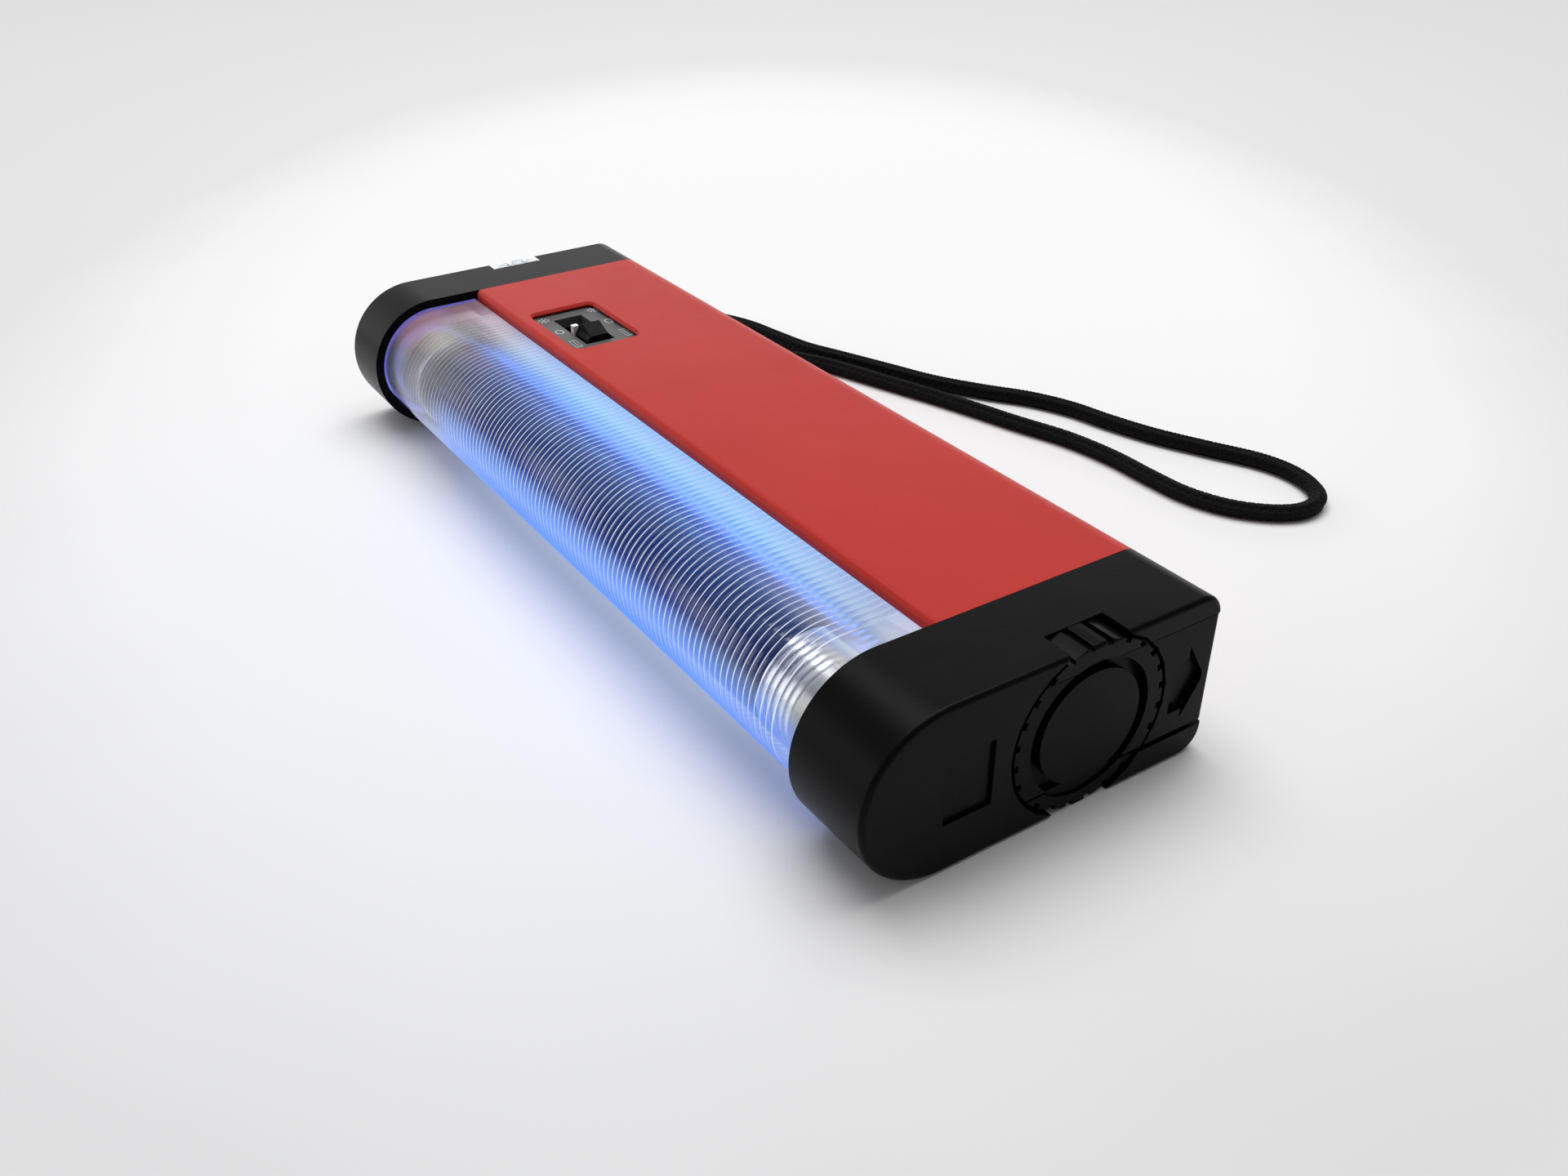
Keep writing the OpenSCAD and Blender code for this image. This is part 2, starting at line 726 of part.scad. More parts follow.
// Coil under the far end of the left row; flat against the cell and the bulkhead
module negative_spring() {
    turns = 3.5;
    steps = 42;
    wire_r = 0.4;
    y0 = cells_y1 + wire_r + 0.05;
    y1 = bulkhead_y0 - wire_r - 0.02;
    route = [for (i = [0 : steps])
        let (s = i / steps, a = 360 * turns * s, r = 2.6 + 2 * s)
        [cell_xs[0] + r * cos(a), y0 + (y1 - y0) * s, mid_z + r * sin(a)]];
    color("silver") swept_bar(route, wire_r, 6, [0, 1, 0]);
}

module positive_contact() {
    color("silver")
    union() {
        box(cell_xs[1] - 4.5, cell_xs[1] + 4.5, cells_y1 + 0.6, cells_y1 + 1, 7.5, 16.5);
        rod_y(cell_xs[1], mid_z, 2, cells_y1 + 0.05, cells_y1 + 0.7);
    }
}

// ---------------------------------------------------------------- circuit

module circuit_board() {
    color("#3d6b3a")
    difference() {
        union() {
            box(-4.8, 25, board_y0, board_y1, board_z, board_z + board_t);
            box(14.5, 19, board_y1 - eps, 62, board_z, board_z + board_t);
        }
        for (p = board_posts)
            rod_z(p.x, p.y, 1.3, board_z - eps, board_z + board_t + eps);
    }
}

module board_screws() {
    color("silver")
    for (p = board_posts) {
        rod_z(p.x, p.y, 0.9, 6, board_z + board_t);
        rod_z(p.x, p.y, 1.7, board_z + board_t, board_z + board_t + 1);
    }
}

// Two E-shaped halves round the winding, hung under the board
module transformer_core() {
    color("#3c3c40")
    difference() {
        box(6, 20, 40.5, 50, 2.2, board_z);
        for (y = [42, 46.3]) box(8.4, 17.6, y, y + 2.2, 2.1, board_z + eps);
    }
}

module transformer_winding() {
    color("#b06a2c")
    for (y = [42.1, 46.4]) box(8.5, 17.5, y, y + 2, 2.6, board_z);
}

module power_transistor() {
    top = board_z + board_t;
    color("#222326")
    union() {
        box(12, 19, 37, 39.8, top + 1, top + 7.5);
        for (x = [13.1, 15.5, 17.9]) box(x - 0.35, x + 0.35, 38.1, 38.7, top, top + 1.1);
    }
}

module electrolytic_capacitor() {
    color("#1f3a6e")
    rod_z(21.8, 45, 3.1, board_z + board_t, board_z + board_t + 7.5);
}

module film_capacitor() {
    color("#9a6b22")
    box(10.5, 17, 42.5, 45.8, board_z + board_t, board_z + board_t + 6);
}

module resistors() {
    color("#c8b48a")
    for (y = [48, 52, 56]) {
        x = y > board_y1 ? 16.75 : 13;
        translate([x - 1.6, y, board_z + board_t + 1]) rotate([0, 90, 0]) cylinder(h = 3.2, r = 1);
    }
}

module switch_case() {
    top = board_z + board_t;
    color("#b9bcc0")
    difference() {
        box(window_x - 5.4, window_x + 5.4, slot_y0 - 1, slot_y0 + slot_len + 0.8,
            top, plate_z - 2);
        box(window_x - slot_w / 2 - 0.2, window_x + slot_w / 2 + 0.2,
            slot_y0, slot_y0 + slot_len, plate_z - 4.2, plate_z);
    }
}

module switch_plate() {
    flange_z = plate_z - 1.9;
    color("#6d7173")
    difference() {
        union() {
            translate([0, 0, flange_z]) linear_extrude(plate_z - flange_z)
                window_outline(ledge - fit);
            translate([0, 0, flange_z]) linear_extrude(case_h - wall - 0.05 - flange_z)
                window_outline(flange);
        }
        box(window_x - slot_w / 2, window_x + slot_w / 2, slot_y0, slot_y0 + slot_len,
            plate_z - 3, plate_z + eps);
    }
}

// White slider of the switch; its post shows beside the knob
module switch_slider() {
    y1 = knob_y0 + knob_len;
    color("white")
    union() {
        box(post_x0, knob_x0 + knob_w, knob_y0, y1, plate_z - 4, plate_z - 2.2);
        box(post_x0, post_x0 + post_w, y1 - post_w, y1, plate_z - 2.3, plate_z + 1.4);
    }
}

// Black knob over the slider: a wedge that rises towards the torch end, its sides sloped
module switch_knob() {
    y1 = knob_y0 + knob_len;
    x1 = knob_x0 + knob_w;
    low = plate_z - 2.2;
    shoulder = plate_z + 0.2;
    draft = 0.6;
    color("#1d1d1f")
    difference() {
        intersection() {
            translate([knob_x0 - 1, 0, 0]) rotate([90, 0, 90]) linear_extrude(knob_w + 2)
                polygon([[knob_y0, low], [y1, low], [y1, plate_z + 1], [knob_y0 + 3.2, plate_z + 2.3],
                         [knob_y0, plate_z + 1]]);
            prism_y(knob_y0 - 1, y1 + 1)
                polygon([[knob_x0, low - 1], [x1, low - 1], [x1, shoulder],
                         [x1 - draft, plate_z + 1], [x1 - draft, case_h + 2],
                         [knob_x0 + draft, case_h + 2], [knob_x0 + draft, plate_z + 1],
                         [knob_x0, shoulder]]);
        }
        // corner in which the slider's post stands
        box(knob_x0 - eps, post_x0 + post_w + fit, y1 - post_w - fit, y1 + eps,
            low - eps, case_h + 2);
    }
}

// ---------------------------------------------------------------- torch

// Clear front of the torch; its knurled rim shows in the notches of the cap
module torch_lens() {
    color("#dfe6ea", 0.5)
    difference() {
        union() {
            rod_y(torch_x, mid_z, torch_r, far - torch_rim + 0.15, far - 0.3);
            rod_y(torch_x, mid_z, seat_r, far - pocket_depth + 0.1, far - torch_rim + 0.2);
        }
        rod_y(torch_x, mid_z, torch_r - 2.2, far - pocket_depth, far - 2);
        knurl_slots(torch_r, far - torch_rim, far, -1, case_h + 1);
    }
}

// Bowl turned from a parabola, open at both ends
module torch_reflector() {
    mouth = torch_r - 2.6;
    neck = 3.4;
    depth = reflector_y1 - reflector_y0;
    steps = 10;
    inner = [for (i = [0 : steps]) let (s = i / steps)
        [sqrt(neck * neck + (mouth * mouth - neck * neck) * s), depth * s]];
    outer = [for (i = [steps : -1 : 0]) let (s = i / steps)
        [sqrt(neck * neck + (mouth * mouth - neck * neck) * s) + 0.8, depth * s]];
    color("gainsboro")
    translate([torch_x, reflector_y0, mid_z]) rotate([-90, 0, 0])
        rotate_extrude() polygon(concat(inner, outer));
}

module bulb_glass() {
    color("#e8e4d8", 0.5)
    union() {
        rod_y(torch_x, mid_z, 2.6, reflector_y0 - 2, reflector_y0 + 3);
        translate([torch_x, reflector_y0 + 3, mid_z]) sphere(2.6);
    }
}

module bulb_base() {
    color("#c9a24b")
    union() {
        rod_y(torch_x, mid_z, 4.6, bulb_y0 + 3, reflector_y0 - 2.6);
        rod_y(torch_x, mid_z, 5.4, reflector_y0 - 2.6, reflector_y0 - 2);
        rod_y(torch_x, mid_z, 1.4, bulb_y0 + 2, bulb_y0 + 3);
    }
}

module bulb_holder() {
    color("ivory")
    difference() {
        box(torch_x - 6.2, torch_x + 6.2, bulb_y0, reflector_y0 - 2.7, 3.5, 20.5);
        rod_y(torch_x, mid_z, 4.65, bulb_y0 + 1.5, reflector_y0);
    }
}

module bulb_contact() {
    color("peru")
    box(torch_x - 2, torch_x + 2, bulb_y0 + 1.5, bulb_y0 + 1.9, mid_z - 3, mid_z + 3);
}

// ---------------------------------------------------------------- leads and lanyard

// Lead from the near lamp holder along the corner of the battery space to the board
module lamp_lead() {
    x = split_x + wall + 1.1;
    z = lead_z;
    route = [[tube_x + 5.7, near + 9.2, z], [split_x - 1, near + 9.2, z],
             [x - 0.3, near + 10, z], [x, near + 13, z], [x, -40, z], [x, 0, z], [x, 32, z],
             [x + 0.2, 38, z - 1.5], [x + 0.3, 46, z - 4], [x + 0.3, 50, board_z + board_t + 1]];
    color("#3050a8") swept_bar(smooth_route(route, 3), 0.6, 8, [0, 0, 1]);
}

// Lead from the positive contact over the bulkhead to the board
module battery_lead() {
    route = [[23.6, bulkhead_y1 + 0.9, 9], [24.2, bulkhead_y1 + 1.6, 7], [24.4, 37.5, 5.5],
             [24.3, 43, 6.5], [24.1, 48, 9], [23.8, 49.6, 11.4]];
    color("#b03028") swept_bar(smooth_route(route, 3), 0.7, 8, [1, 0, 0]);
}

// Both ends of the cord, knotted together inside the far cap
module lanyard_knot() {
    color("#161616")
    translate(knot_pos) sphere(knot_r);
}

module lanyard() {
    // no ring goes lower than the surface the lamp lies on
    route = [for (p = smooth_route(LANYARD_ROUTE, 2)) [p.x, p.y, max(p.z, cord_rest_z)]];
    color("#161616") swept_bar(route, cord_d / 2, 8, [0, 0, 1]);
}

// ---------------------------------------------------------------- nodes

upper_shell();
lower_shell();
near_end_cap();
far_end_cap();
case_screws();
ribbed_lens();
lamp_reflector();
tube_glass();
tube_end_caps();
tube_pins();
near_lamp_holder();
far_lamp_holder();
lamp_holder_contacts();
battery_door();
door_contact();
cell_near_left();
cell_near_right();
cell_far_left();
cell_far_right();
cell_buttons();
battery_bulkhead();
negative_spring();
positive_contact();
circuit_board();
board_screws();
transformer_core();
transformer_winding();
power_transistor();
electrolytic_capacitor();
film_capacitor();
resistors();
switch_case();
switch_plate();
switch_slider();
switch_knob();
torch_lens();
torch_reflector();
bulb_glass();
bulb_base();
bulb_holder();
bulb_contact();
lamp_lead();
battery_lead();
lanyard_knot();
lanyard();
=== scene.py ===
"""Hand-held battery lamp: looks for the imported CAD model, in metres, in the same frame."""
import math

import bpy
import numpy as np
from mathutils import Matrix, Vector


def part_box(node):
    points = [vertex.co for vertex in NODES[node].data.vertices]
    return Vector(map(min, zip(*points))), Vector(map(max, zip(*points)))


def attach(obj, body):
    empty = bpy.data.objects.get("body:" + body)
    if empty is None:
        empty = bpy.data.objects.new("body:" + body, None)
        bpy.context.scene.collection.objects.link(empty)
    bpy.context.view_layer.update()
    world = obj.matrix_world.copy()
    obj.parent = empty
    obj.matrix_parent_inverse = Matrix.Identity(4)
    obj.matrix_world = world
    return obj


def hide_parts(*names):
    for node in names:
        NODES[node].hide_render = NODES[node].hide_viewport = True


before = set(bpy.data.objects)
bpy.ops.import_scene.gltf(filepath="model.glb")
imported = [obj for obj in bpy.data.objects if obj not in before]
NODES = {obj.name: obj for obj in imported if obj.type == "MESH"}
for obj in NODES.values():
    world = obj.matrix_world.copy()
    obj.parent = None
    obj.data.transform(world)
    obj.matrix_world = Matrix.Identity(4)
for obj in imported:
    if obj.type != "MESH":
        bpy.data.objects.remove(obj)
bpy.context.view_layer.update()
MM = 0.001


def node_box(name):
    """Lowest and highest corner of a CAD node."""
    low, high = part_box(name)
    return Vector(low), Vector(high)


# ------------------------------------------------------------------ camera

CAMERA_PLACE = Vector((-99.5, -173.1, 116.2)) * MM
CAMERA_AZIMUTH = math.radians(-33.69)
CAMERA_PITCH = math.radians(31.85)
CAMERA_LENS = 32.82


def make_camera():
    """The one camera, looking down along the lamp from its near end."""
    data = bpy.data.cameras.new("camera")
    data.sensor_width = 36
    data.lens = CAMERA_LENS
    data.clip_start = 0.01
    data.clip_end = 20
    camera = bpy.data.objects.new("camera", data)
    bpy.context.scene.collection.objects.link(camera)
    camera.location = CAMERA_PLACE
    look = Vector((
        -math.sin(CAMERA_AZIMUTH) * math.cos(CAMERA_PITCH),
        math.cos(CAMERA_AZIMUTH) * math.cos(CAMERA_PITCH),
        -math.sin(CAMERA_PITCH),
    ))
    camera.rotation_euler = look.to_track_quat("-Z", "Y").to_euler()
    bpy.context.scene.camera = camera


make_camera()


# ------------------------------------------------------------------ meshes

def link_mesh(name, points, faces, body, smooth=True):
    """A new mesh piece that rides on a body."""
    mesh = bpy.data.meshes.new(name)
    mesh.from_pydata([tuple(p) for p in points], [], faces)
    mesh.validate()
    mesh.update()
    if smooth:
        mesh.shade_smooth()
    piece = bpy.data.objects.new(name, mesh)
    bpy.context.scene.collection.objects.link(piece)
    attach(piece, body)
    return piece


def strip_faces(rings, sides, closed_around):
    """Quads between neighbouring rings of points."""
    faces = []
    around = sides if closed_around else sides - 1
    for i in range(rings - 1):
        for k in range(around):
            a = i * sides + k
            b = i * sides + (k + 1) % sides
            faces.append((a, a + sides, b + sides, b))
    return faces


# ------------------------------------------------------------------ lanyard

CORD_D = 2.8 * MM
CORD_REST = CORD_D / MM / 2    # height of its middle where it lies on the floor, in mm
# places on its middle line in mm, out of the far cap, round the loop and back in
CORD_ROUTE = [
    (23.5, 73.5, 6.5), (28.5, 73.5, 6.5), (35, 72, 4.2), (41, 68.5, 2), (48, 62, CORD_REST),
    (54, 54.5, CORD_REST), (58.3, 46.5, CORD_REST), (62.5, 34.5, CORD_REST),
    (67.2, 20.5, CORD_REST), (71.5, 5.5, CORD_REST), (74.8, -5, CORD_REST),
    (76.2, -15, CORD_REST), (76.2, -24, CORD_REST), (76.6, -32, CORD_REST),
    (79, -39, CORD_REST), (83.2, -44.2, CORD_REST), (88, -46.9, CORD_REST),
    (92.8, -46.4, CORD_REST), (96.4, -43, CORD_REST), (98, -37.2, CORD_REST),
    (97, -30.5, CORD_REST), (93, -22, CORD_REST), (89, -13, CORD_REST),
    (86.3, -4, CORD_REST), (84.5, 4, CORD_REST), (81, 12, CORD_REST),
    (75.5, 20, CORD_REST), (70.5, 28.5, CORD_REST), (66.5, 38.5, CORD_REST),
    (62.5, 48.5, CORD_REST), (59.3, 56.5, CORD_REST), (57.6, 65, CORD_REST),
    (55.8, 74, CORD_REST), (51.5, 83, CORD_REST), (44.5, 90, CORD_REST),
    (36, 93, 2), (28, 91, 4), (23.6, 86.3, 6.1), (22.8, 81.5, 6.5), (22.8, 76.8, 6.5),
]
ROUTE_PARTS = 8
CORD_STEP = 0.22 * MM
CORD_SIDES = 40
CARRIERS = 6               # strands that run each way round the braid
BRAID_PITCH = 9 * MM       # length in which a strand goes once round
STRAND_RELIEF = 0.55 * MM
STRAND_UNDER = 0.45        # height of a strand where it passes under another
STRAND_MIDDLE = 0.8        # height of a strand that lies on the cord's nominal surface
FLOOR_GAP = 0.02 * MM


def smooth_route(route, parts):
    """Points on the smooth curve through a route, parts to each step."""
    points = [Vector(p) * MM for p in route]
    ends = [points[0]] + points + [points[-1]]
    out = []
    for a, b, c, d in zip(ends, ends[1:], ends[2:], ends[3:]):
        for k in range(parts):
            t = k / parts
            p = 0.5 * (2 * b + (c - a) * t + (2 * a - 5 * b + 4 * c - d) * t ** 2
                       + (3 * b - a - 3 * c + d) * t ** 3)
            p.z = max(p.z, CORD_D / 2)
            out.append(p)
    out.append(points[-1])
    return out


def even_steps(points, step):
    """The same line with points an even distance apart."""
    line = np.array(points)
    run = np.concatenate([[0], np.cumsum(np.linalg.norm(np.diff(line, axis=0), axis=1))])
    count = int(run[-1] / step)
    at = np.linspace(0, run[-1], count + 1)
    even = np.stack([np.interp(at, run, line[:, i]) for i in range(3)], axis=1)
    return even, at


def route_frames(line):
    """Unit vectors to the side of a line that is never upright, and above it."""
    along = np.gradient(line, axis=0)
    along /= np.linalg.norm(along, axis=1)[:, None]
    side = np.cross(along, [0, 0, 1.0])
    side /= np.linalg.norm(side, axis=1)[:, None]
    up = np.cross(side, along)
    return side, up


def strand_height(turn, run, direction):
    """Height from 0 to 1 of one of the two sets of strands over the braid's core."""
    phase = turn * CARRIERS + direction * run / BRAID_PITCH * CARRIERS
    across = 2 * (phase - np.floor(phase)) - 1
    crown = np.sqrt(np.clip(1 - across ** 2, 0, 1))
    other = turn * CARRIERS - direction * run / BRAID_PITCH * CARRIERS
    over = 0.5 + 0.5 * np.cos(math.pi * (np.floor(phase) + other))
    return crown * (STRAND_UNDER + (1 - STRAND_UNDER) * over)


def make_lanyard():
    """The wrist loop, with the strands of its braid as relief."""
    line, run = even_steps(smooth_route(CORD_ROUTE, ROUTE_PARTS), CORD_STEP)
    side, up = route_frames(line)
    turn = np.arange(CORD_SIDES) / CORD_SIDES
    turns, runs = np.meshgrid(turn, run)
    height = np.maximum(strand_height(turns, runs, 1), strand_height(turns, runs, -1))
    radius = CORD_D / 2 + STRAND_RELIEF * (height - STRAND_MIDDLE)
    angle = 2 * math.pi * turns
    points = (line[:, None, :]
              + (radius * np.cos(angle))[:, :, None] * side[:, None, :]
              + (radius * np.sin(angle))[:, :, None] * up[:, None, :])
    points[:, :, 2] = np.maximum(points[:, :, 2], FLOOR_GAP)
    faces = strip_faces(len(line), CORD_SIDES, True)
    faces.append(tuple(range(CORD_SIDES)))
    last = (len(line) - 1) * CORD_SIDES
    faces.append(tuple(last + k for k in reversed(range(CORD_SIDES))))
    piece = link_mesh("lanyard_braid", points.reshape(-1, 3), faces, "housing")
    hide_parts("lanyard")


make_lanyard()


# ------------------------------------------------------------------ lens

lens_low, lens_high = node_box("ribbed_lens")
LENS_WALL = 1.4 * MM
LENS_R = (lens_high.z - lens_low.z) / 2
LENS_AXIS = Vector((lens_low.x + LENS_R, 0, (lens_low.z + lens_high.z) / 2))
RIB_PITCH = 1.3 * MM
RIB_COUNT = 92
RIB_DEPTH = 0.22 * MM
TUBE_MIDDLE = 0.33          # way round at which the tube lies straight below the skin
RIB_RUN_IN = 0.035          # part of the way round in which a rib rises from the flat edge
RIB_SAMPLES = (0.0, 0.04, 0.1, 0.2, 0.35, 0.5, 0.65, 0.8, 0.9, 0.96)
ARC_STEPS = 56
FLAT_STEPS = 6
LENS_SHARP_ANGLE = math.radians(50)


def lens_outline(radius):
    """Points (x, z) with outward normals along the lens's C shape, from the top edge round."""
    flat_end = lens_high.x
    points = []
    for k in range(FLAT_STEPS):
        x = flat_end + (LENS_AXIS.x - flat_end) * k / FLAT_STEPS
        points.append((x, LENS_AXIS.z + radius, 0, 1))
    for k in range(ARC_STEPS + 1):
        a = math.radians(90 + 180 * k / ARC_STEPS)
        points.append((LENS_AXIS.x + radius * math.cos(a), LENS_AXIS.z + radius * math.sin(a),
                       math.cos(a), math.sin(a)))
    for k in range(1, FLAT_STEPS + 1):
        x = LENS_AXIS.x + (flat_end - LENS_AXIS.x) * k / FLAT_STEPS
        points.append((x, LENS_AXIS.z - radius, 0, -1))
    return points


def way_round(outline):
    """How far each point lies along an outline, from 0 to 1 of its length."""
    line = np.array([point[:2] for point in outline])
    run = np.concatenate([[0], np.cumsum(np.linalg.norm(np.diff(line, axis=0), axis=1))])
    return (run / run[-1]).tolist()


def lens_stations():
    """Places along Y and the rib's height there, from 0 to 1."""
    first = -RIB_COUNT * RIB_PITCH / 2
    stations = [(lens_low.y, 0)]
    for i in range(RIB_COUNT):
        for t in RIB_SAMPLES:
            crown = math.sqrt(max(0.0, 1 - (2 * t - 1) ** 2))
            stations.append((first + (i + t) * RIB_PITCH, crown))
    stations.append((first + RIB_COUNT * RIB_PITCH, 0))
    stations.append((lens_high.y, 0))
    return stations


def make_lens():
    """The ribbed lens: a C-shaped wall with a rounded rib at every pitch on its outside."""
    outer = lens_outline(LENS_R)
    inner = lens_outline(LENS_R - LENS_WALL)
    stations = lens_stations()
    sides = len(outer) + len(inner)
    points = []
    around = []
    outside = []
    outer_way = way_round(outer)
    inner_way = way_round(inner)
    for y, crown in stations:
        rise = RIB_DEPTH * (crown - 1)
        for (x, z, nx, nz), way in zip(outer, outer_way):
            fade = min(1, way / RIB_RUN_IN, (1 - way) / RIB_RUN_IN)
            points.append((x + nx * rise * fade, y, z + nz * rise * fade))
            around.append(way)
            outside.append(1.0)
        for (x, z, nx, nz), way in zip(reversed(inner), reversed(inner_way)):
            points.append((x, y, z))
            around.append(way)
            outside.append(0.0)
    faces = strip_faces(len(stations), sides, True)
    n = len(outer)
    last = (len(stations) - 1) * sides
    for k in range(n - 1):
        quad = (k, k + 1, sides - 2 - k, sides - 1 - k)
        faces.append(quad)
        faces.append(tuple(last + q for q in reversed(quad)))
    piece = link_mesh("lens_ribbed", points, faces, "housing")
    for name, values in {"around": around, "outside": outside}.items():
        piece.data.attributes.new(name, "FLOAT", "POINT").data.foreach_set("value", values)
    piece.data.set_sharp_from_angle(angle=LENS_SHARP_ANGLE)
    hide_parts("ribbed_lens")


make_lens()


# ------------------------------------------------------------------ switch pictograms

plate_low, plate_high = node_box("switch_plate")
ICON_SHIFT = 0.6 * MM       # the slot lies off the plate's middle
icon_middle = (plate_low.x + plate_high.x) / 2 + ICON_SHIFT
PRINT_LIFT = 0.03 * MM
PRINT_LINE = 0.24 * MM
BEAM_DOT = 0.28 * MM
BEAM_RAYS = 8
RAY_START = 0.55           # from the dot's middle, in mm
RAY_END = 1.1
RING_POINTS = 20
ICON_X = 4.8 * MM
ICON_YS = [y * MM for y in (37.0, 43.3, 49.6)]


def outline_band(points, width):
    """Quads of a thin band along a closed outline of (x, y) points."""
    middle = sum((Vector(p) for p in points), Vector((0, 0))) / len(points)
    rim = [Vector(p) for p in points]
    inside = [p + (middle - p).normalized() * width for p in rim]
    n = len(rim)
    verts = [v for pair in zip(rim, inside) for v in pair]
    faces = [(2 * k, 2 * ((k + 1) % n), 2 * ((k + 1) % n) + 1, 2 * k + 1) for k in range(n)]
    return verts, faces


def bar(start, end, width):
    """Corners of a straight printed line."""
    along = (end - start).normalized()
    across = Vector((-along.y, along.x)) * width / 2
    return [start - across, end - across, end + across, start + across]


def tube_icon(x, y):
    """A long box with a line down its middle, for the fluorescent tube."""
    wide, long = 0.6 * MM, 1.65 * MM
    verts, faces = outline_band([(x - wide, y - long), (x + wide, y - long),
                                 (x + wide, y + long), (x - wide, y + long)], PRINT_LINE)
    base = len(verts)
    inset = long - 2.5 * PRINT_LINE
    verts += bar(Vector((x, y - inset)), Vector((x, y + inset)), PRINT_LINE * 0.5)
    return verts, faces + [(base, base + 1, base + 2, base + 3)]


def ring_icon(x, y):
    """A flat ring, for the off position."""
    wide, long = 0.75 * MM, 1.05 * MM
    return outline_band([(x + wide * math.cos(a), y + long * math.sin(a))
                         for a in np.linspace(0, 2 * math.pi, RING_POINTS, endpoint=False)],
                        PRINT_LINE)


def beam_icon(x, y):
    """Short rays round a dot, for the torch."""
    middle = Vector((x, y))
    verts = bar(middle - Vector((BEAM_DOT, 0)), middle + Vector((BEAM_DOT, 0)), 2 * BEAM_DOT)
    faces = [(0, 1, 2, 3)]
    for k in range(BEAM_RAYS):
        a = 2 * math.pi * k / BEAM_RAYS
        ray = Vector((math.cos(a), math.sin(a)))
        base = len(verts)
        verts += bar(middle + ray * RAY_START * MM, middle + ray * RAY_END * MM, PRINT_LINE)
        faces.append((base, base + 1, base + 2, base + 3))
    return verts, faces


def make_icons():
    """The three marks on both sides of the switch, as one thin printed piece."""
    points = []
    faces = []
    top = plate_high.z + PRINT_LIFT
    for side in (-1, 1):
        x = icon_middle + side * ICON_X
        for icon, y in zip((tube_icon, ring_icon, beam_icon), ICON_YS):
            verts, quads = icon(x, y)
            base = len(points)
            points += [(v[0], v[1], top) for v in verts]
            faces += [tuple(base + k for k in quad) for quad in quads]
    piece = link_mesh("switch_icons", points, faces, "housing", smooth=False)
    solid = piece.modifiers.new("thickness", "SOLIDIFY")
    solid.thickness = PRINT_LIFT
    solid.offset = -1


make_icons()


# ------------------------------------------------------------------ CAD edges

EDGE_ANGLE = math.radians(32)
FLAT_ANGLE = math.radians(0.6)
WELD_DISTANCE = 0.002 * MM
EDGE_SEGMENTS = 2


def soften(name, width):
    """Rounds a CAD node's sharp edges with modifiers; its own mesh stays as it is."""
    part = NODES[name]
    weld = part.modifiers.new("weld", "WELD")
    weld.merge_threshold = WELD_DISTANCE
    flat = part.modifiers.new("flat", "DECIMATE")
    flat.decimate_type = "DISSOLVE"
    flat.angle_limit = FLAT_ANGLE
    bevel = part.modifiers.new("edges", "BEVEL")
    bevel.width = width
    bevel.segments = EDGE_SEGMENTS
    bevel.limit_method = "ANGLE"
    bevel.angle_limit = EDGE_ANGLE
    bevel.use_clamp_overlap = True
    bevel.harden_normals = False
    normals = part.modifiers.new("normals", "WEIGHTED_NORMAL")
    normals.keep_sharp = True


# widths of the rounded edges, in mm
for name, width in {
    "upper_shell": 0.25, "lower_shell": 0.25, "near_end_cap": 0.3, "far_end_cap": 0.3,
    "battery_door": 0.12, "switch_plate": 0.1, "switch_knob": 0.12, "switch_slider": 0.05,
    "torch_lens": 0.12,
}.items():
    soften(name, width * MM)


# ------------------------------------------------------------------ materials

def set_stops(ramp, stops):
    """Gives a colour ramp its (place, colour) stops, which are in order."""
    while len(ramp.elements) < len(stops):
        ramp.elements.new(0.5)
    for element, (at, colour) in zip(ramp.elements, stops):
        element.position = at
        element.color = (*colour, 1)


def grey_stops(stops):
    """(place, level) stops as greys."""
    return [(at, (level,) * 3) for at, level in stops]


